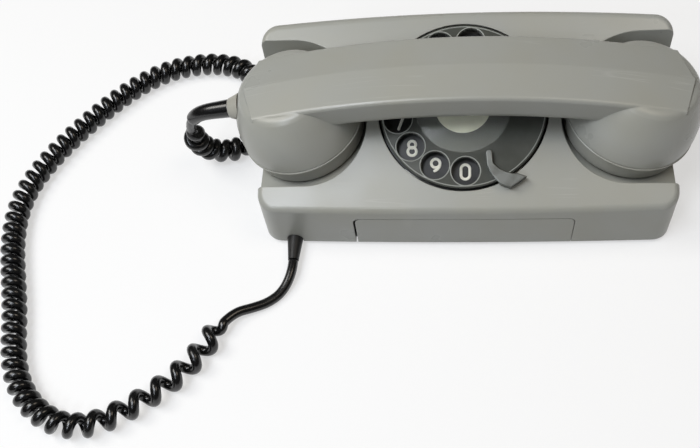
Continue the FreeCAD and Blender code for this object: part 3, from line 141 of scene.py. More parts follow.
def add(tree: Tree, kind: str, inputs: dict[Any, Any] | tuple[Any, ...] = (), **settings: Any) -> Node:
    """Add a node with its settings, input values and links.

    Args:
        tree: Node tree that gets the node.
        kind: Blender's name of the node's type.
        inputs: What each input gets, in order or by its name or place: a value, an output socket to link from, or a
            node whose first output is linked.
        settings: Properties of the node itself.

    Returns:
        The new node.
    """
    node = tree.nodes.new(kind)
    for name, value in settings.items():
        setattr(node, name, value)
    for key, value in inputs.items() if isinstance(inputs, dict) else enumerate(inputs):
        if isinstance(value, Node):
            value = value.outputs[0]
        if isinstance(value, Socket):
            tree.links.new(value, node.inputs[key])
        else:
            node.inputs[key].default_value = value
    return node


def unit(vectors: np.ndarray) -> np.ndarray:
    """Scale each row of an array of vectors to length 1."""
    return vectors / np.linalg.norm(vectors, axis=-1, keepdims=True)


def run_along(line: np.ndarray) -> np.ndarray:
    """Distance along a line to each of its points."""
    return np.concatenate([[0], np.cumsum(np.linalg.norm(np.diff(line, axis=0), axis=1))])


def read_at(spots: np.ndarray, run: np.ndarray, vectors: np.ndarray) -> np.ndarray:
    """Vectors at spots along a line, read between those that its points have."""
    return np.stack([np.interp(spots, run, vectors[:, k]) for k in range(3)], axis=1)


def skin(rings: np.ndarray, first: np.ndarray, last: np.ndarray) -> Grid:
    """Join rings of points into a closed skin, with one more point in the middle of each end.

    Args:
        rings: Points of each ring, counted anticlockwise when seen from the last ring.
        first: Middle of the first end.
        last: Middle of the last end.

    Returns:
        Vertices and triangles.
    """
    count, around = rings.shape[:2]
    verts = np.concatenate([rings.reshape(-1, 3), first[None], last[None]])
    i, j = np.meshgrid(np.arange(count - 1), np.arange(around), indexing="ij")
    here, over = i * around + j, i * around + (j + 1) % around
    walls = np.stack([here, over, over + around, here, over + around, here + around], axis=-1).reshape(-1, 3)
    rim, end = np.arange(around), (count - 1) * around
    following = (rim + 1) % around
    first_cap = np.stack([following, rim, np.full(around, count * around)], axis=-1)
    last_cap = np.stack([end + rim, end + following, np.full(around, count * around + 1)], axis=-1)
    return verts, np.concatenate([walls, first_cap, last_cap])


def lathe(outline: np.ndarray, corner: float, around: int) -> Grid:
    """Turn an outline about the Z axis, with each corner rounded.

    The surface is (r cos t, r sin t, z). Each corner P between A and B becomes five points: two on either side at one
    and two corner lengths from it, and (A' + 2 P + B') / 4, the middle of a parabola between the near ones.

    Args:
        outline: Radius and height of each corner, from the axis at the bottom to the axis at the top.
        corner: Length that the rounding takes off each side.
        around: Number of faces round the axis.

    Returns:
        Vertices and triangles, in the lengths given.
    """
    before, p, after = outline[:-2], outline[1:-1], outline[2:]
    back, on = unit(before - p) * corner, unit(after - p) * corner
    rounded = np.stack([p + 2 * back, p + back, p + (back + on) / 4, p + on, p + 2 * on], axis=1).reshape(-1, 2)
    t = np.linspace(0, 2 * np.pi, around, endpoint=False)
    r, z = rounded[:, :1], rounded[:, 1:]
    rings = np.stack([r * np.cos(t), r * np.sin(t), z + 0 * t], axis=-1)
    return skin(rings, np.array([0.0, 0.0, outline[0, 1]]), np.array([0.0, 0.0, outline[-1, 1]]))


def tube(line: np.ndarray, side: np.ndarray, radius: np.ndarray, around: int) -> Grid:
    """Carry a circle along a line and close both ends.

    The surface is line(s) + radius(s) * (cos a * n(s) + sin a * b(s)), where n is the side vector made square to the
    line's direction and b is the direction crossed with n. One point at each end closes the tube.

    Args:
        line: Points of the middle line, in order.
        side: A vector beside the line at each point, from which the angle round the tube is counted.
        radius: Radius at each point.
        around: Number of faces round the tube.

    Returns:
        Vertices and triangles.
    """
    along = unit(np.gradient(line, axis=0))
    n = unit(side - along * np.sum(side * along, axis=1, keepdims=True))
    b = np.cross(along, n)
    angle = np.linspace(0, 2 * np.pi, around, endpoint=False)
    ring = np.cos(angle)[None, :, None] * n[:, None, :] + np.sin(angle)[None, :, None] * b[:, None, :]
    return skin(line[:, None, :] + radius[:, None, None] * ring, line[0], line[-1])


def hoop(middle: tuple[float, float], radius: float, height: float, bead: float, around: int = 10) -> Grid:
    """Lay a thin round bead in a level circle.

    The surface is (r + bead cos a)(cos t, sin t) about the middle, at height + bead sin a, for t and a from 0 to a
    full turn, with the last row of faces joined to the first.

    Args:
        middle: Middle of the circle.
        radius: Radius of the circle.
        height: Height of the bead's own middle.
        bead: Radius of the bead.
        around: Number of faces round the bead.

    Returns:
        Vertices and triangles, in the lengths given.
    """
    fewest, per_length = 48, 4
    long = max(fewest, int(radius * per_length))
    t, a = np.meshgrid(np.linspace(0, 2 * np.pi, long, endpoint=False),
                       np.linspace(0, 2 * np.pi, around, endpoint=False), indexing="ij")
    out = radius + bead * np.cos(a)
    verts = np.stack([middle[0] + out * np.cos(t), middle[1] + out * np.sin(t), height + bead * np.sin(a)], axis=-1)
    i, j = np.meshgrid(np.arange(long), np.arange(around), indexing="ij")
    here, over = i * around + j, i * around + (j + 1) % around
    shift = ((i + 1) % long - i) * around
    faces = np.stack([here, here + shift, over + shift, here, over + shift, over], axis=-1).reshape(-1, 3)
    return verts.reshape(-1, 3), faces


def joined(grids: Iterable[Grid]) -> Grid:
    """Put several meshes into one pair of arrays.

    Args:
        grids: Vertices and triangles of each mesh.

    Returns:
        Vertices and triangles of all of them.
    """
    verts, faces, start = [], [], 0
    for points, triangles in grids:
        verts.append(points)
        faces.append(triangles + start)
        start += len(points)
    return np.concatenate(verts), np.concatenate(faces)


def moved(grid: Grid, place: Matrix) -> Grid:
    """Carry a mesh from a piece's own frame, in millimetres, to the CAD frame, in metres.

    Args:
        grid: Vertices and triangles in the piece's own frame.
        place: Matrix of that frame.

    Returns:
        Vertices in the CAD frame and the same triangles.
    """
    verts, faces = grid
    frame = np.array(place)
    return verts * MM @ frame[:3, :3].T + frame[:3, 3], faces


def piece(name: str, grid: Grid, material: bpy.types.Material) -> bpy.types.Object:
    """Make a smooth mesh object at the origin.

    Args:
        name: Name of the piece.
        grid: Vertices in metres and triangles.
        material: Its finish.

    Returns:
        The new object.
    """
    verts, faces = grid
    mesh = bpy.data.meshes.new(name)
    mesh.from_pydata(verts.tolist(), [], faces.tolist())
    mesh.polygons.foreach_set("use_smooth", np.ones(len(faces), bool))
    mesh.materials.append(material)
    mesh.update()
    made = bpy.data.objects.new(name, mesh)
    bpy.context.scene.collection.objects.link(made)
    return made


# Finishes


@dataclass(frozen=True)
class Clouds:
    """Soft patches of a second colour over a first, such as yellowing, tarnish or dust.

    A noise of the patches' size decides: over a range of its values the second colour grows from none to its share.
    """

    size_mm: float
    over: Range
    share: float
    detail: float = 4.0
    breakup: float = 0.5

    def lay(self, tree: Tree, place: Socket, plain: str, other: str) -> tuple[Node, Node, Socket]:
        """Add the patches to a material.

        Args:
            tree: The material's node tree.
            place: Object coordinates in metres.
            plain: First colour.
            other: Second colour.

        Returns:
            The noise, the share of the second colour, and the mixed colour.
        """
        noise = add(tree, "ShaderNodeTexNoise", {"Vector": place, "Scale": per_mm(self.size_mm),
                                                 "Detail": self.detail, "Roughness": self.breakup})
        share = add(tree, "ShaderNodeMapRange", (noise, *self.over, 0.0, self.share))
        colour = add(tree, "ShaderNodeMix", {0: share, PLAIN: linear(plain), OTHER: linear(other)}, data_type="RGBA")
        return noise, share, colour.outputs[MIXED]


@dataclass(frozen=True)
class Finish:
    """One finish, named for its real material.

    In the finishes, a pattern takes effect over a range of its values, up to its share, and dulls the gloss by what
    is added to the roughness. A swing is what the roughness loses and gains, and a turn is in radians.
    """

    name: str

    def material(self) -> bpy.types.Material:
        """Build the material: a Principled shader that the finish dresses on Object coordinates.

        Returns:
            The new material.
        """
        made = bpy.data.materials.new(self.name)
        made.use_nodes = True
        tree = made.node_tree
        tree.nodes.clear()
        place = add(tree, "ShaderNodeTexCoord").outputs["Object"]
        shader = add(tree, "ShaderNodeBsdfPrincipled", self.dress(tree, place))
        add(tree, "ShaderNodeOutputMaterial", {"Surface": self.surface(tree, shader)})
        return made

    def surface(self, tree: Tree, shader: Node) -> Node:
        """Node that the surface shows: the shader itself."""
        return shader

    def dress(self, tree: Tree, place: Socket) -> dict[str, Any]:
        """Say what the shader's inputs get.

        Args:
            tree: The material's node tree.
            place: Object coordinates in metres.

        Returns:
            A value, socket or node for each input that leaves its default.
        """
        raise NotImplementedError


@dataclass(frozen=True)
class MouldedPlastic(Finish):
    """Injection-moulded ABS after years of use: even satin gloss, a fine spark grain, thin scratches and specks.

    The eye sees a soft broad highlight, a little yellowing in clouds, a painted shade in the seams where surfaces come
    close, and short bright scratches where hands and the desk have rubbed it.
    """

    colour: str
    aged: str
    grime_and_seam_shade: str
    roughness: float
    refraction: float = 1.54
    clouds: Clouds = Clouds(42.0, (0.38, 0.68), 0.75)
    gloss_over: Range = (0.3, 0.7)
    gloss_swing: Range = (-0.05, 0.08)
    grain_mm: float = 0.7
    grain_depth_mm: float = 0.02
    scratch_mm: float = 7.0
    scratch_turns: tuple[float, ...] = (0.12, 0.75)
    scratch_stretches: tuple[Triple, ...] = ((0.03, 1.0, 0.06), (0.05, 1.0, 0.06))
    scratch_width: float = 0.012
    scratch_patch_mm: float = 28.0
    scratch_over: Range = (0.55, 0.7)
    scratch_share: float = 0.5
    scratch_light: str = "#bfc0ba"
    scratch_dull: float = 0.25
    scratch_depth_mm: float = 0.05
    nick_mm: float = 9.0
    nick_turn: Triple = (0.0, 0.0, 0.5)
    nick_stretch: Triple = (0.3, 1.0, 1.0)
    nick_over: Range = (0.02, 0.04)
    nick_share: float = 0.8
    nick_chance: float = 0.2
    seam_shade_mm: float = 2.6
    seam_shade_over: Range = (0.25, 0.75)
    seam_shade_share: float = 0.55
    edge_mm: float = 0.8

    def dress(self, tree: Tree, place: Socket) -> dict[str, Any]:
        """Say what the shader's inputs get.

        Args:
            tree: The material's node tree.
            place: Object coordinates in metres.

        Returns:
            A value, socket or node for each input that leaves its default.
        """
        cloud, _, tone = self.clouds.lay(tree, place, self.colour, self.aged)
        scratch = self.scratches(tree, place)
        # Painted shade: the dark colour is mixed in where two surfaces come close together, by an Ambient Occlusion
        # node.
        seam = add(tree, "ShaderNodeAmbientOcclusion", {"Distance": self.seam_shade_mm * MM}, samples=EDGE_SAMPLES)
        held = add(tree, "ShaderNodeMapRange", (seam.outputs["AO"], *self.seam_shade_over, self.seam_shade_share, 0.0))
        marks = ((scratch, self.scratch_light), (self.nicks(tree, place), self.grime_and_seam_shade), (held, self.grime_and_seam_shade))
        for share, other in marks:
            mix = add(tree, "ShaderNodeMix", {0: share, PLAIN: tone, OTHER: linear(other)}, data_type="RGBA")
            tone = mix.outputs[MIXED]
        smooth, dull = (self.roughness + swing for swing in self.gloss_swing)
        gloss = add(tree, "ShaderNodeMapRange", (cloud, *self.gloss_over, smooth, dull))
        rubbed = add(tree, "ShaderNodeMath", (scratch, self.scratch_dull, gloss), operation="MULTIPLY_ADD")
        return {"Base Color": tone, "Roughness": rubbed, "Normal": self.relief(tree, place, scratch),
                "IOR": self.refraction}

    def scratches(self, tree: Tree, place: Socket) -> Node:
        """Draw scratches: thin level lines of a stretched noise, kept only in a few patches.

        Args:
            tree: The material's node tree.
            place: Object coordinates in metres.

        Returns:
            A node that gives the share of the scratches.
        """
        lines = []
        for turn, stretch in zip(self.scratch_turns, self.scratch_stretches):
            drawn = add(tree, "ShaderNodeMapping", {"Vector": place, "Rotation": (0.0, 0.0, turn), "Scale": stretch})
            field = add(tree, "ShaderNodeTexNoise", {"Vector": drawn, "Scale": per_mm(self.scratch_mm), "Detail": 1.0})
            off = add(tree, "ShaderNodeMath", (field, NOISE_MIDDLE), operation="SUBTRACT")
            near = add(tree, "ShaderNodeMath", (off,), operation="ABSOLUTE")
            lines.append(add(tree, "ShaderNodeMapRange", (near, 0.0, self.scratch_width, 1.0, 0.0)))
        either = add(tree, "ShaderNodeMath", tuple(lines), operation="MAXIMUM")
        patch = add(tree, "ShaderNodeTexNoise", {"Vector": place, "Scale": per_mm(self.scratch_patch_mm),
                                                 "Detail": 2.0})
        few = add(tree, "ShaderNodeMapRange", (patch, *self.scratch_over, 0.0, self.scratch_share))
        return add(tree, "ShaderNodeMath", (either, few), operation="MULTIPLY")

    def nicks(self, tree: Tree, place: Socket) -> Node:
        """Mark dark nicks: the stretched middles of a few cells, about one in five.

        Args:
            tree: The material's node tree.
            place: Object coordinates in metres.

        Returns:
            A node that gives the share of dark dirt in the nicks.
        """
        laid = add(tree, "ShaderNodeMapping", {"Vector": place, "Rotation": self.nick_turn,
                                               "Scale": self.nick_stretch})
        cell = add(tree, "ShaderNodeTexVoronoi", {"Vector": laid, "Scale": per_mm(self.nick_mm)})
        dot = add(tree, "ShaderNodeMapRange", (cell.outputs["Distance"], *self.nick_over, self.nick_share, 0.0))
        chance = add(tree, "ShaderNodeSeparateColor", (cell.outputs["Color"],))
        chosen = add(tree, "ShaderNodeMath", (chance, self.nick_chance), operation="LESS_THAN")
        return add(tree, "ShaderNodeMath", (dot, chosen), operation="MULTIPLY")

    def relief(self, tree: Tree, place: Socket, scratch: Node) -> Node:
        """Soften the edges, raise the grain and cut the scratches in.

        The grain is drawn coarser than the real spark texture, so that it shows in the render.

        Args:
            tree: The material's node tree.
            place: Object coordinates in metres.
            scratch: Share of the scratches.

        Returns:
            A node that gives the normal.
        """
        grain = add(tree, "ShaderNodeTexNoise", {"Vector": place, "Scale": per_mm(self.grain_mm), "Detail": 2.0})
        edge = add(tree, "ShaderNodeBevel", {"Radius": self.edge_mm * MM}, samples=EDGE_SAMPLES)
        fine = add(tree, "ShaderNodeBump", {"Height": grain, "Distance": self.grain_depth_mm * MM, "Strength": 0.5,
                                            "Normal": edge})
        return add(tree, "ShaderNodeBump", {"Height": scratch, "Distance": self.scratch_depth_mm * MM,
                                            "Strength": 0.6, "Normal": fine}, invert=True)


@dataclass(frozen=True)
class CastAcrylic(Finish):
    """Clear or smoked acrylic: polished faces, dulled a little by fine scratches and a film of dust.

    The eye sees what lies under it, dimmed by the tint, and a reflection on top.
    """

    tint: str
    passes: str
    see_through: float
    roughness: float
    refraction: float = 1.49
    dust: str = "#8c8c86"
    clouds: Clouds = Clouds(14.0, (0.45, 0.75), 0.3, 5.0)
    scratch_mm: float = 3.0
    scratch_turn: Triple = (0.0, 0.3, 0.7)
    scratch_stretch: Triple = (0.08, 1.0, 1.0)
    scratch_over: Range = (0.4, 0.75)
    scratch_dull: float = 0.06
    edge_mm: float = 0.6

    def surface(self, tree: Tree, shader: Node) -> Node:
        """Let lamps shine through to what lies under the acrylic.

        Args:
            tree: The material's node tree.
            shader: Its Principled shader.

        Returns:
            A node that gives the shader for sight, and a tinted clear one for the lamps' light.
        """
        ray = add(tree, "ShaderNodeLightPath")
        clear = add(tree, "ShaderNodeBsdfTransparent", {"Color": linear(self.passes)})
        return add(tree, "ShaderNodeMixShader", (ray.outputs["Is Shadow Ray"], shader, clear))

    def dress(self, tree: Tree, place: Socket) -> dict[str, Any]:
        """Say what the shader's inputs get.

        Args:
            tree: The material's node tree.
            place: Object coordinates in metres.

        Returns:
            A value, socket or node for each input that leaves its default.
        """
        _, _, tone = self.clouds.lay(tree, place, self.tint, self.dust)
        drawn = add(tree, "ShaderNodeMapping", {"Vector": place, "Rotation": self.scratch_turn,
                                                "Scale": self.scratch_stretch})
        hair = add(tree, "ShaderNodeTexNoise", {"Vector": drawn, "Scale": per_mm(self.scratch_mm), "Detail": 2.0})
        dull = self.roughness + self.scratch_dull
        rough = add(tree, "ShaderNodeMapRange", (hair, *self.scratch_over, self.roughness, dull))
        given = {"Base Color": tone, "Roughness": rough, "Transmission Weight": self.see_through,
                 "IOR": self.refraction}
        if self.edge_mm:
            given["Normal"] = add(tree, "ShaderNodeBevel", {"Radius": self.edge_mm * MM}, samples=EDGE_SAMPLES)
        return given


@dataclass(frozen=True)
class WorkedMetal(Finish):
    """Sheet or turned metal: a bright face with the fine parallel marks of its working and a little tarnish."""

    colour: str
    tarnish: str
    roughness: float
    grain: Grain
    clouds: Clouds = Clouds(6.0, (0.45, 0.7), 0.7)
    line_mm: float = 0.35
    line_over: Range = (0.3, 0.7)
    line_swing: Range = (-0.06, 0.12)
    line_depth_mm: float = 0.015
    edge_mm: float = 0.2

    def dress(self, tree: Tree, place: Socket) -> dict[str, Any]:
        """Say what the shader's inputs get.

        Args:
            tree: The material's node tree.
            place: Object coordinates in metres.

        Returns:
            A value, socket or node for each input that leaves its default.
        """
        _, _, tone = self.clouds.lay(tree, place, self.colour, self.tarnish)
        drawn = add(tree, "ShaderNodeMapping", {"Vector": place, "Scale": self.grain.value})
        lines = add(tree, "ShaderNodeTexNoise", {"Vector": drawn, "Scale": per_mm(self.line_mm), "Detail": 3.0})
        smooth, dull = (self.roughness + swing for swing in self.line_swing)
        rough = add(tree, "ShaderNodeMapRange", (lines, *self.line_over, smooth, dull))
        edge = add(tree, "ShaderNodeBevel", {"Radius": self.edge_mm * MM}, samples=EDGE_SAMPLES)
        bump = add(tree, "ShaderNodeBump", {"Height": lines, "Distance": self.line_depth_mm * MM, "Strength": 0.5,
                                            "Normal": edge})
        return {"Base Color": tone, "Roughness": rough, "Normal": bump, "Metallic": 1.0}


@dataclass(frozen=True)
class SoftPolymer(Finish):
    """Rubber, PVC, phenolic, enamel or varnish: a dark skin with faint dust and a bump of its own size."""

    colour: str
    dust: str
    roughness: float
    skin_mm: float
    skin_depth_mm: float
    clouds: Clouds = Clouds(9.0, (0.48, 0.78), 0.35, 5.0, 0.65)
    coat: float = 0.0
    coat_roughness: float = 0.08
    dust_dull: float = 0.5
    refraction: float = 1.53

    def dress(self, tree: Tree, place: Socket) -> dict[str, Any]:
        """Say what the shader's inputs get.

        Args:
            tree: The material's node tree.
            place: Object coordinates in metres.

        Returns:
            A value, socket or node for each input that leaves its default.
        """
        _, film, tone = self.clouds.lay(tree, place, self.colour, self.dust)
        rough = add(tree, "ShaderNodeMath", (film, self.dust_dull, self.roughness), operation="MULTIPLY_ADD")
        pores = add(tree, "ShaderNodeTexNoise", {"Vector": place, "Scale": per_mm(self.skin_mm), "Detail": 2.0})
        bump = add(tree, "ShaderNodeBump", {"Height": pores, "Distance": self.skin_depth_mm * MM, "Strength": 0.6})
        return {"Base Color": tone, "Roughness": rough, "Normal": bump, "IOR": self.refraction,
                "Coat Weight": self.coat, "Coat Roughness": self.coat_roughness}


@dataclass(frozen=True)
class PrintedStock(Finish):
    """Card or printing ink: matt, with paper fibres, a little foxing and no gloss."""

    colour: str
    stain: str
    fibre_mm: float = 0.5
    clouds: Clouds = Clouds(6.0, (0.45, 0.75), 0.6)
    fibre_over: Range = (0.3, 0.7)
    fibre_depth_mm: float = 0.02
    roughness: Range = (0.55, 0.75)

    def dress(self, tree: Tree, place: Socket) -> dict[str, Any]:
        """Say what the shader's inputs get.

        Args:
            tree: The material's node tree.
            place: Object coordinates in metres.

        Returns:
            A value, socket or node for each input that leaves its default.
        """
        _, _, tone = self.clouds.lay(tree, place, self.colour, self.stain)
        fibre = add(tree, "ShaderNodeTexNoise", {"Vector": place, "Scale": per_mm(self.fibre_mm), "Detail": 3.0})
        rough = add(tree, "ShaderNodeMapRange", (fibre, *self.fibre_over, *self.roughness))
        bump = add(tree, "ShaderNodeBump", {"Height": fibre, "Distance": self.fibre_depth_mm * MM, "Strength": 0.4})
        return {"Base Color": tone, "Roughness": rough, "Normal": bump}


# Grey mouldings: a broad satin highlight. The caps are a little duller, and the nylon ferrule is waxy.
# The third colour is that of dirt in the nicks, and also of the shade painted into the seams.
SHELL_ABS = MouldedPlastic("moulded_abs_shell", "#a6a7a1", "#a4a398", "#4c4a42", 0.3)
CAP_ABS = MouldedPlastic("moulded_abs_cap", "#a5a69f", "#9d9c91", "#3f3d36", 0.33)
FERRULE_NYLON = MouldedPlastic("moulded_nylon_ferrule", "#a9a79d", "#a09d91", "#57534a", 0.42)
# Moulded phenolic: near black with a soft gloss on the dial, brown and duller inside.
DIAL_PHENOLIC = SoftPolymer("moulded_phenolic_plate", "#151616", "#3c3d3b", 0.28, 0.8, 0.015)
INNER_PHENOLIC = SoftPolymer("moulded_phenolic_insulator", "#2b211a", "#5a5148", 0.4, 0.8, 0.02)
# Smoked acrylic: dims the plate under it. The beads on the wheel's polished edges are tinted pale as a painted
# highlight.
WHEEL_ACRYLIC = CastAcrylic("smoked_acrylic_wheel", "#5b5d57", "#8a8b87", 0.3, 0.16, dust="#7b7d79")
EDGE_HIGHLIGHT_ACRYLIC = CastAcrylic("painted_highlight_acrylic_edge", "#a9aca6", "#c4c6c2", 0.15, 0.18)
# Clear acrylic: shows the card under a soft sheen. At acrylic's own index its reflections broke up into sparkles.
CLEAR_ACRYLIC = CastAcrylic("clear_acrylic_cap", "#f8f9f6", "#f8f8f6", 0.95, 0.13, 1.25, edge_mm=0.0)
# Card and filled numerals: cream and matt.
CARD_STOCK = PrintedStock("cream_card_stock", "#e6e4cf", "#cfc8a8")
NUMERAL_INK = PrintedStock("cream_filled_numerals", "#f1efe2", "#dedac9", 0.4, Clouds(4.0, (0.45, 0.75), 0.6))
# Metals: a grey streaked shine on the stop, and inside dull zinc, yellow brass and pale aluminium.
STOP_STAINLESS = WorkedMetal("brushed_stainless_stop", "#7b7d7a", "#5d5e59", 0.34, Grain.ALONG_Y)
PLATED_STEEL = WorkedMetal("zinc_plated_steel", "#a9aaa6", "#8f8a76", 0.36, Grain.ALONG_X)
TURNED_BRASS = WorkedMetal("turned_brass", "#b9954f", "#8a6c3a", 0.3, Grain.ALONG_X)
DRAWN_ALUMINIUM = WorkedMetal("drawn_aluminium_can", "#c2c4c4", "#a4a5a2", 0.34, Grain.ALONG_X)
# Dark skins: satin enamel, brown varnished tape, dull rubber, and PVC with a thin highlight along each curl.
PAINTED_PLATE = SoftPolymer("stove_enamelled_plate", "#232425", "#4d4c49", 0.42, 1.2, 0.03)
WOUND_TAPE = SoftPolymer("varnished_coil_tape", "#5a2f16", "#85684a", 0.35, 0.6, 0.03)
RUBBER = SoftPolymer("moulded_rubber", "#121212", "#2c2b29", 0.45, 0.9, 0.02)
CORD_PVC = SoftPolymer("glossy_pvc_sheath", "#0a0a0b", "#252524", 0.24, 0.9, 0.012,
                       Clouds(11.0, (0.48, 0.78), 0.25, 5.0, 0.65), 0.2)


# Camera, floor and light


@dataclass
class PhotoCamera:
    """Camera at the photograph's place, a little in front of the telephone and high above it."""

    place: Triple = (-4.6, -270.5, 404.3)
    turn_deg: Triple = (30.56, 5.74, 3.08)
    focal_px: float = 909.5
    frame_px: float = 700.0
    sensor: float = 36.0
    nearest: float = 10.0

    def build(self) -> None:
        """Make the camera and use it for the scene."""
        data = bpy.data.cameras.new("photo_camera")
        data.sensor_width = self.sensor
        data.lens = self.focal_px / self.frame_px * self.sensor
        data.clip_start = self.nearest * MM
        camera = bpy.data.objects.new("photo_camera", data)
        camera.location = Vector(self.place) * MM
        camera.rotation_euler = Euler([math.radians(a) for a in self.turn_deg])
        bpy.context.scene.collection.objects.link(camera)
        bpy.context.scene.camera = camera


@dataclass
class Lamp:
    """A square soft lamp aimed at the telephone."""

    name: str
    place: Triple
    size: float
    power: float
    colour: str

    def build(self, target: Vector) -> None:
        """Make the lamp.

        Args:
            target: Point that it is aimed at, in metres.
        """
        data = bpy.data.lights.new(self.name, "AREA")
        data.size = self.size * MM
        data.energy = self.power
        data.color = linear(self.colour)[:3]
        lamp = bpy.data.objects.new(self.name, data)
        lamp.location = Vector(self.place) * MM
        lamp.rotation_euler = (target - lamp.location).to_track_quat("-Z", "Y").to_euler()
        bpy.context.scene.collection.objects.link(lamp)


@dataclass
class Studio:
    """Plain pale floor, four soft lamps and an even white surround."""

    aim: Triple = (-20.0, 0.0, 30.0)
    floor_reach: float = 3000.0
    floor_colour: str = "#ffffff"
    bounce_colour: str = "#b4b4b2"
    shadow_share: float = 0.45
    surround: float = 0.075
    surround_colour: str = "#f6f5f0"
    lamps: tuple[Lamp, ...] = (
        Lamp("key", (-780.0, 80.0, 1060.0), 480.0, 5.2, "#fffcf6"),
        Lamp("window", (-420.0, -338.0, 1150.0), 480.0, 7.4, "#f3f8ff"),
        Lamp("room", (520.0, -60.0, 1180.0), 480.0, 2.4, "#fff0dc"),
        Lamp("ridge", (-450.0, -760.0, 810.0), 200.0, 1.5, "#eef4ff"),
    )

    def build(self) -> None:
        """Make the floor, the lamps and the world."""
        bpy.context.scene.view_settings.view_transform = "Standard"
        self.make_world()
        self.make_floor()
        for lamp in self.lamps:
            lamp.build(Vector(self.aim) * MM)

    def seen(self, tree: Tree) -> Node:
        """Say where a ray is one that shows the background: seen, mirrored or through glass.

        Args:
            tree: Node tree of the floor.

        Returns:
            A node that gives 1 for such rays.
        """
        ray = add(tree, "ShaderNodeLightPath").outputs
        mirrored = add(tree, "ShaderNodeMath", (ray["Is Glossy Ray"], ray["Is Transmission Ray"]), operation="MAXIMUM")
        return add(tree, "ShaderNodeMath", (ray["Is Camera Ray"], mirrored), operation="MAXIMUM")

    def make_world(self) -> None:
        """Light evenly from all round, and show white."""
        world = bpy.data.worlds.new("surround")
        world.use_nodes = True
        tree = world.node_tree
        tree.nodes.clear()
        light = add(tree, "ShaderNodeBackground", {"Color": linear(self.surround_colour), "Strength": self.surround})
        white = add(tree, "ShaderNodeBackground", {"Color": WHITE, "Strength": 1.0})
        ray = add(tree, "ShaderNodeLightPath")
        both = add(tree, "ShaderNodeMixShader", (ray.outputs["Is Camera Ray"], light, white))
        add(tree, "ShaderNodeOutputWorld", {"Surface": both})
        bpy.context.scene.world = world

    def make_floor(self) -> None:
        """Lay the floor: white where it is seen, with the object's shadow kept as a share of plain paint."""
        reach = self.floor_reach * MM
        square = np.array([(-reach, -reach, 0), (reach, -reach, 0), (reach, reach, 0), (-reach, reach, 0)], float)
        paint = bpy.data.materials.new("matt_floor_paint")
        paint.use_nodes = True
        tree = paint.node_tree
        tree.nodes.clear()
        matt = add(tree, "ShaderNodeBsdfDiffuse", {"Color": linear(self.floor_colour)})
        bounce = add(tree, "ShaderNodeBsdfDiffuse", {"Color": linear(self.bounce_colour)})
        white = add(tree, "ShaderNodeEmission", {"Color": WHITE, "Strength": 1.0})
        shaded = add(tree, "ShaderNodeMixShader", (self.shadow_share, white, matt))
        both = add(tree, "ShaderNodeMixShader", (self.seen(tree), bounce, shaded))
        add(tree, "ShaderNodeOutputMaterial", {"Surface": both})
        floor = piece("floor", (square, np.array([(0, 1, 2), (0, 2, 3)])), paint)


# The telephone


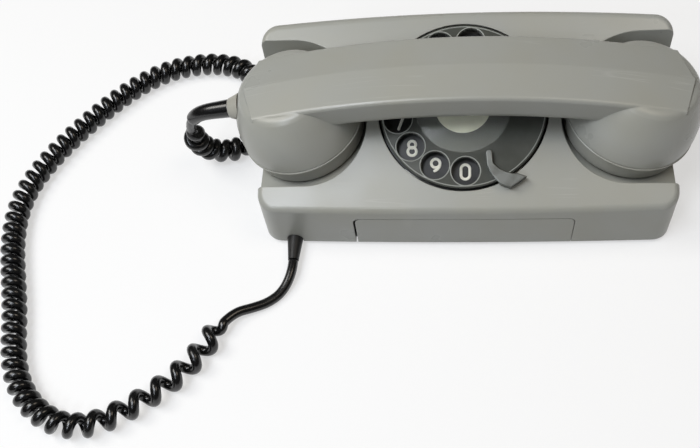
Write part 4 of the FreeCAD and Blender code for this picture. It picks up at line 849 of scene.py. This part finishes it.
@dataclass
class HandsetCord:
    """Curled cord from the handset's strain relief, round on the desk and back into the base.

    The curls loosen over two shares of their run, loosens_from to loose_by, and open over the first share of it.
    """

    wire: float = 5.0
    curl_outer: float = 12.7
    tight_pitch: float = 6.5
    loose_pitch: float = 11.5
    loosens_from: float = 0.76
    loose_by: float = 0.9
    opens_over: float = 0.04
    ramp_turns: float = 0.9
    route_steps: int = 24
    fine_steps: int = 40000
    points_per_turn: int = 24
    rings_per_wire: int = 4
    around: int = 14
    boot_start: float = -8.2
    boot_end: float = 17.0
    boot_radii: tuple[float, float] = (4.5, 3.5)
    boot_tip: float = 0.1
    boot_rings: int = 48
    boot_around: int = 28
    resting: float = 6.4
    curls_after: int = 3
    handset_tail: Points = (
        (-120.333, -2.0, 57.544), (-124.765, -2.0, 56.763), (-131.2, -1.6, 53.4), (-136.4, -0.2, 45.0),
        (-138.4, 2.0, 34.0), (-138.8, 4.6, 22.5), (-136.6, 7.2, 12.8), (-130.0, 8.8, 7.4),
    )
    on_desk: Points = (
        (-121.5, 10.4), (-113.2, 18.0), (-109.6, 30.5), (-110.0, 45.0), (-114.5, 58.5), (-125.0, 67.6),
        (-139.8, 71.4), (-153.5, 70.8), (-167.5, 67.4), (-181.3, 59.6), (-193.6, 49.0), (-204.3, 37.2),
        (-214.3, 24.8), (-223.6, 11.2), (-231.2, -2.8), (-236.3, -17.4), (-237.4, -33.0), (-235.2, -49.0),
        (-231.2, -64.0), (-227.0, -78.0), (-223.6, -91.0), (-220.8, -104.5), (-216.8, -118.2), (-209.6, -130.6),
        (-199.0, -140.2), (-185.6, -145.8), (-172.0, -144.6), (-159.4, -138.4), (-147.0, -130.0), (-135.6, -120.4),
        (-126.0, -108.4), (-118.8, -95.2),
    )
    base_tail: Points = (
        (-111.6, -86.2, 5.2), (-103.0, -82.8, 3.4), (-95.4, -79.2, 2.4), (-89.0, -73.2, 2.6),
        (-85.0, -63.56, 5.0), (-85.0, -57.06, 5.0),
    )

    def route(self) -> np.ndarray:
        """Read points from the route's smooth spline.

        Returns:
            Points of the cord's middle line in metres, close together.
        """
        control = [*self.handset_tail, *((x, y, self.resting) for x, y in self.on_desk), *self.base_tail]
        curve = bpy.data.curves.new("cord_route", "CURVE")
        curve.dimensions = "3D"
        curve.resolution_u = self.route_steps
        spline = curve.splines.new("NURBS")
        spline.points.add(len(control) - 1)
        flat = np.ones((len(control), 4))
        flat[:, :3] = np.array(control) * MM
        spline.points.foreach_set("co", flat.ravel())
        spline.order_u = 3
        spline.use_endpoint_u = True
        holder = bpy.data.objects.new("cord_route", curve)
        mesh = bpy.data.meshes.new_from_object(holder)
        read = np.zeros(len(mesh.vertices) * 3)
        mesh.vertices.foreach_get("co", read)
        bpy.data.meshes.remove(mesh)
        bpy.data.objects.remove(holder)
        bpy.data.curves.remove(curve)
        return read.reshape(-1, 3)

    def curled(self, line: np.ndarray) -> Grid:
        """Wind the wire round the middle line from within the handset's tail to just before the base's.

        The wire is line(s) + R ramp(s) (n cos t - b sin t), a left-handed helix: n is the upright direction made square
        to the line, b the line's direction crossed with n, and t the turns so far, the sum of ds over the pitch.

        Args:
            line: Points of the middle line.

        Returns:
            Points of the wire and the side vector at each.
        """
        run = run_along(line)
        begin, following = self.handset_tail[self.curls_after : self.curls_after + 2]
        first = self.nearest_run(line, run, np.add(begin, following) / 2)
        last_desk = (*self.on_desk[-1], self.resting)
        last = self.nearest_run(line, run, np.add(last_desk, self.base_tail[0]) / 2)
        fine = np.linspace(0, run[-1], self.fine_steps)
        share = np.clip((fine - first) / (last - first), 0, 1)
        inside = (fine > first) & (fine < last)
        turns = np.concatenate([[0], np.cumsum(np.where(inside, 1 / self.pitch(share), 0)[:-1] * np.diff(fine))])
        whole = np.floor(turns[-1])
        turns *= whole / turns[-1]
        s = self.wire_steps(fine, turns, first, last)
        t = np.interp(s, fine, turns)
        centre = read_at(s, run, line)
        along = unit(np.gradient(centre, s, axis=0))
        n = unit(UP - along * along[:, 2:3])
        b = np.cross(along, n)
        radius = (self.curl_outer - self.wire) / 2 * MM
        ramp = np.minimum(self.step(t / self.ramp_turns), self.step((whole - t) / self.ramp_turns))
        swing = 2 * np.pi * t[:, None]
        side = n * np.cos(swing) - b * np.sin(swing)
        LOG.info("handset cord: %d turns", whole)
        return centre + side * (radius * ramp)[:, None], side

    def nearest_run(self, line: np.ndarray, run: np.ndarray, point: np.ndarray) -> float:
        """Distance along the line to where it passes nearest a point given in millimetres."""
        return float(run[np.argmin(np.linalg.norm(line - np.asarray(point) * MM, axis=1))])

    def step(self, share: np.ndarray) -> np.ndarray:
        """Smooth step from 0 to 1 with level ends."""
        held = np.clip(share, 0, 1)
        return held * held * (3 - 2 * held)

    def pitch(self, share: np.ndarray) -> np.ndarray:
        """Pitch of the curls: looser where they begin and towards the base.

        Args:
            share: Shares of the curls' run.

        Returns:
            The pitch at each, in metres.
        """
        looser = self.step((share - self.loosens_from) / (self.loose_by - self.loosens_from))
        opening = self.step(1 - share / self.opens_over)
        return (self.tight_pitch + (self.loose_pitch - self.tight_pitch) * np.maximum(looser, opening)) * MM

    def wire_steps(self, fine: np.ndarray, turns: np.ndarray, first: float, last: float) -> np.ndarray:
        """Places along the line at which the wire gets a ring: even in the tails, even in turns in the curls.

        Args:
            fine: Close places along the line.
            turns: Turns made by each of these.
            first: Where the curls begin.
            last: Where they end.

        Returns:
            Places along the line, in order.
        """
        gap = self.wire / self.rings_per_wire * MM
        before = np.linspace(0, first, int(first / gap), endpoint=False)
        after = np.linspace(last, fine[-1], int((fine[-1] - last) / gap))[1:]
        count = int(turns[-1] * self.points_per_turn)
        inside = (fine >= first) & (fine <= last)
        within = np.interp(np.linspace(0, turns[-1], count), turns[inside], fine[inside])
        return np.concatenate([before, within, after])

    def build(self) -> None:
        wire, side = self.curled(self.route())
        radius = np.full(len(wire), self.wire / 2 * MM)
        made = piece("handset_cord", tube(wire, side, radius, self.around), CORD_PVC.material())
        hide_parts("handset_cord_tail", "curly_cord", "base_cord_tail")
        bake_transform(made)
        self.build_boot(wire, side)

    def build_boot(self, wire: np.ndarray, side: np.ndarray) -> None:
        """Sleeve the strain relief and the cord's first bend with a smooth flexible boot.

        It runs straight back from the wire's start to the ferrule. Its radius falls evenly along the wire, and rounds
        in over its tip.

        Args:
            wire: Points of the wire, from the handset on.
            side: A vector beside the wire at each point.
        """
        back = wire[0] + unit(wire[0] - wire[1]) * (-self.boot_start * MM)
        points, beside = np.concatenate([back[None], wire]), np.concatenate([side[:1], side])
        run = run_along(points)
        share = np.linspace(0, 1, self.boot_rings)
        spots = share * (self.boot_end - self.boot_start) * MM
        line, beside_line = read_at(spots, run, points), read_at(spots, run, beside)
        wide, slim = self.boot_radii
        rounding = np.sqrt(1 - ((share - (1 - self.boot_tip)) / self.boot_tip).clip(0, 1) ** 2)
        radius = (self.wire / 2 + (wide + (slim - wide) * share - self.wire / 2) * rounding) * MM
        made = piece("cord_boot", tube(line, beside_line, radius, self.boot_around), CORD_PVC.material())
        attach(made, Body.HANDSET.value)
        LOG.info("cord_boot: %.1f mm long", self.boot_end - self.boot_start)


@dataclass
class Dial:
    """What the dial shows beyond its solids: numerals on the plate, painted highlight beads on the wheel and a cap over
    the card.
    """

    middle: Triple = (0.0, 1.643, 51.956)
    slope_deg: float = 23.5
    holes: int = 10
    numeral_circle: float = 31.2
    zero_deg: float = 272.0
    step_deg: float = 27.0
    plate_top: float = -4.2
    numeral_height: float = 8.7
    box_height: float = 0.86
    stroke: float = 1.45
    relief: float = 0.3
    around: int = 10
    bow_points: int = 22
    bar_points: int = 8
    end_points: int = 6
    tip_radius: float = 0.01
    wheel_top: float = 2.0
    rim_circle: float = 39.1
    hole_circle: float = 31.8
    hole_edge: float = 7.1
    edge_bead: float = 0.3
    edge_sunk: float = 0.12
    cap_outline: Points = (
        (0.0, 2.7), (13.7, 2.7), (13.7, 2.06), (23.0, 2.06), (23.0, 3.0), (20.0, 3.7), (13.4, 4.5), (0.0, 4.7),
    )
    cap_corner: float = 0.16
    cap_around: int = 120

    def frame(self) -> Matrix:
        """Matrix from the dial's own frame to the CAD frame, in metres."""
        return Matrix.Translation(Vector(self.middle) * MM) @ Matrix.Rotation(math.radians(self.slope_deg), 4, "X")

    def spot(self, hole: int, circle: float) -> tuple[float, float]:
        """Place of a finger hole, counted from that of the 0, on a circle about the dial's middle."""
        bearing = math.radians(self.zero_deg - hole * self.step_deg)
        return circle * math.cos(bearing), circle * math.sin(bearing)

    def bow(self, cx: float, cy: float, r: float, start: float, end: float) -> np.ndarray:
        """Points of a round bow in the numeral's own box, from one bearing in degrees to another."""
        angle = np.radians(np.linspace(start, end, self.bow_points))
        return np.stack([cx + r * np.cos(angle), cy + r * np.sin(angle)], axis=1)

    def bar(self, *turns: tuple[float, float]) -> list[np.ndarray]:
        """Straight strokes from turn to turn in the numeral's own box.

        Args:
            turns: Where each stroke meets the next, and both ends.

        Returns:
            Points of each stroke.
        """
        spots = np.array(turns)
        share = np.linspace(0, 1, self.bar_points)[:, None]
        return [a + (b - a) * share for a, b in zip(spots[:-1], spots[1:])]

    def strokes(self, digit: int) -> list[np.ndarray]:
        """Middle lines of a numeral's strokes, in a box of height 1 about its middle.

        Args:
            digit: The numeral.

        Returns:
            Points of each stroke.
        """
        six = [self.bow(0, -0.18, 0.25, 0, 360), self.bow(0.19, -0.16, 0.44, 178, 108)]
        shapes = {
            0: [np.concatenate([self.bow(0, 0.17, 0.25, 0, 180), self.bow(0, -0.17, 0.25, 180, 360),
                                self.bow(0, 0.17, 0.25, 0, 2)])],
            1: self.bar((-0.16, 0.24), (0.07, 0.43), (0.07, -0.43)),
            2: [self.bow(0, 0.18, 0.25, 165, -38), *self.bar((0.197, 0.026), (-0.25, -0.43), (0.26, -0.43))],
            3: [self.bow(0, 0.21, 0.215, 155, -90), self.bow(0, -0.185, 0.245, 90, -155)],
            4: self.bar((0.05, 0.43), (-0.28, -0.2), (0.29, -0.2)) + self.bar((0.12, 0.06), (0.12, -0.43)),
            5: self.bar((0.23, 0.43), (-0.19, 0.43), (-0.22, 0.03)) + [self.bow(0, -0.17, 0.26, 135, -150)],
            6: six,
            7: self.bar((-0.26, 0.43), (0.26, 0.43), (-0.06, -0.43)),
            8: [self.bow(0, 0.215, 0.21, 0, 360), self.bow(0, -0.185, 0.245, 0, 360)],
            9: [-line for line in six],
        }
        return shapes[digit]

    def numeral(self, digit: int) -> Grid:
        """Raise a numeral from the plate as low, round-ended ridges.

        Each stroke is a round tube along its middle line, with its radius falling to nothing over half a circle at
        both ends and its height flattened to a share of its width.

        Args:
            digit: The numeral.

        Returns:
            Vertices in the dial's own frame, in millimetres, and triangles.
        """
        half = self.stroke / 2
        cap = np.linspace(0, np.pi / 2, self.end_points)
        grids = []
        for line in self.strokes(digit):
            flat = np.zeros((len(line), 3))
            flat[:, :2] = line * (self.numeral_height - self.stroke) / self.box_height
            lead, out = unit(flat[0] - flat[1]), unit(flat[-1] - flat[-2])
            head = flat[0] + lead * (half * np.cos(cap))[:, None]
            foot = flat[-1] + out * (half * np.sin(cap))[:, None]
            path = np.concatenate([head[:-1], flat, foot[1:]])
            radius = np.concatenate([half * np.sin(cap)[:-1], np.full(len(flat), half), half * np.cos(cap)[1:]])
            side = np.broadcast_to(UP, path.shape)
            grids.append(tube(path, side, np.maximum(radius, self.tip_radius), self.around))
        verts, faces = joined(grids)
        return verts * (1, 1, self.relief / half), faces

    def build_numerals(self) -> None:
        """Put each numeral on the plate under its finger hole."""
        grids = []
        for hole in range(self.holes):
            verts, faces = self.numeral(-hole % self.holes)
            grids.append((verts + (*self.spot(hole, self.numeral_circle), self.plate_top), faces))
        grid = moved(joined(grids), self.frame())
        made = piece("dial_numerals", grid, NUMERAL_INK.material())
        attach(made, Body.BASE.value)
        LOG.info("dial_numerals: %d faces", len(grid[1]))

    def build_edge_highlights(self) -> None:
        """Lay a thin bead round the wheel and round each finger hole, tinted pale as a painted highlight on the
        polished edges.
        """
        height = self.wheel_top - self.edge_sunk
        grids = [hoop((0.0, 0.0), self.rim_circle, height, self.edge_bead)]
        for hole in range(self.holes):
            grids.append(hoop(self.spot(hole, self.hole_circle), self.hole_edge, height, self.edge_bead))
        grid = moved(joined(grids), self.frame())
        made = piece("wheel_edge_highlights", grid, EDGE_HIGHLIGHT_ACRYLIC.material())
        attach(made, Body.WHEEL.value)
        LOG.info("wheel_edge_highlights: %d faces", len(grid[1]))

    def build_cap(self) -> None:
        """Turn the clear cap over the card, a hair above the wheel so that no two faces share a plane."""
        grid = moved(lathe(np.array(self.cap_outline), self.cap_corner, self.cap_around), self.frame())
        made = piece("card_cap", grid, CLEAR_ACRYLIC.material())
        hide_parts("card_retainer")
        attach(made, Body.WHEEL.value)
        LOG.info("card_cap: %d faces", len(grid[1]))


@dataclass
class CapLips:
    """Thin rounded lip round the top of each screwed cap, which catches the light beside the dark seam."""

    cup_x: float = 76.7
    seat_height: float = 32.8
    tilt_deg: float = 12.0
    circle: float = 30.85
    height: float = 12.1
    bead: float = 0.6

    def build(self) -> None:
        """Make both lips, the second as the first seen in a mirror across the middle."""
        tilt = Matrix.Rotation(math.radians(self.tilt_deg), 4, "Y")
        place = Matrix.Translation(Vector((self.cup_x, 0, self.seat_height)) * MM) @ tilt
        right, faces = moved(hoop((0.0, 0.0), self.circle, self.height, self.bead), place)
        grid = joined([(right, faces), (right * (-1, 1, 1), faces[:, ::-1])])
        made = piece("cap_lips", grid, CAP_ABS.material())
        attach(made, Body.HANDSET.value)
        LOG.info("cap_lips: %d faces", len(grid[1]))


@dataclass
class Dresser:
    """Gives each CAD node its finish."""

    nodes: dict[str, bpy.types.Object]
    finishes: tuple[tuple[Finish, tuple[str, ...]], ...] = (
        (SHELL_ABS, ("housing", "access_panel", "handset_shell")),
        (CAP_ABS, ("earpiece_cap", "mouthpiece_cap")),
        (FERRULE_NYLON, ("handset_ferrule",)),
        (DIAL_PHENOLIC, ("number_plate", "hook_plungers")),
        (WHEEL_ACRYLIC, ("finger_wheel",)),
        (CLEAR_ACRYLIC, ("card_retainer",)),
        (CARD_STOCK, ("number_card",)),
        (STOP_STAINLESS, ("finger_stop",)),
        (PLATED_STEEL, ("dial_frame", "dial_screws", "dial_shaft", "mainspring", "hook_bail", "hook_brackets",
                        "hook_spring", "ringer_frame", "ringer_core", "base_screws", "gong_post")),
        (TURNED_BRASS, ("main_gear", "governor_pinion", "governor_weights", "governor_drum", "gong", "clapper",
                        "terminal_screws")),
        (DRAWN_ALUMINIUM, ("capacitor", "receiver_capsule", "transmitter_capsule")),
        (INNER_PHENOLIC, ("impulse_cam", "impulse_contacts", "hook_contacts", "network_block",
                          "transmitter_holder")),
        (WOUND_TAPE, ("ringer_coil",)),
        (PAINTED_PLATE, ("base_plate",)),
        (RUBBER, ("rubber_feet", "base_grommet", "handset_strain_relief", "handset_cord_tail", "curly_cord",
                  "base_cord_tail")),
    )

    def dress(self) -> None:
        """Put every finish on its nodes' material slots."""
        for finish, names in self.finishes:
            material = finish.material()
            for name in names:
                data = self.nodes[name].data
                data.materials.clear()
                data.materials.append(material)
            LOG.info("%s: %s", finish.name, ", ".join(names))


def main() -> None:
    """Build the camera, the new pieces, the finishes and the studio."""
    logging.basicConfig(level=logging.INFO, format="%(name)s: %(message)s")
    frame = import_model()
    PhotoCamera().build()
    HandsetCord().build()
    dial = Dial()
    dial.build_numerals()
    dial.build_edge_highlights()
    dial.build_cap()
    CapLips().build()
    Dresser(frame["nodes"]).dress()
    Studio().build()


if __name__ == "__main__":
    main()
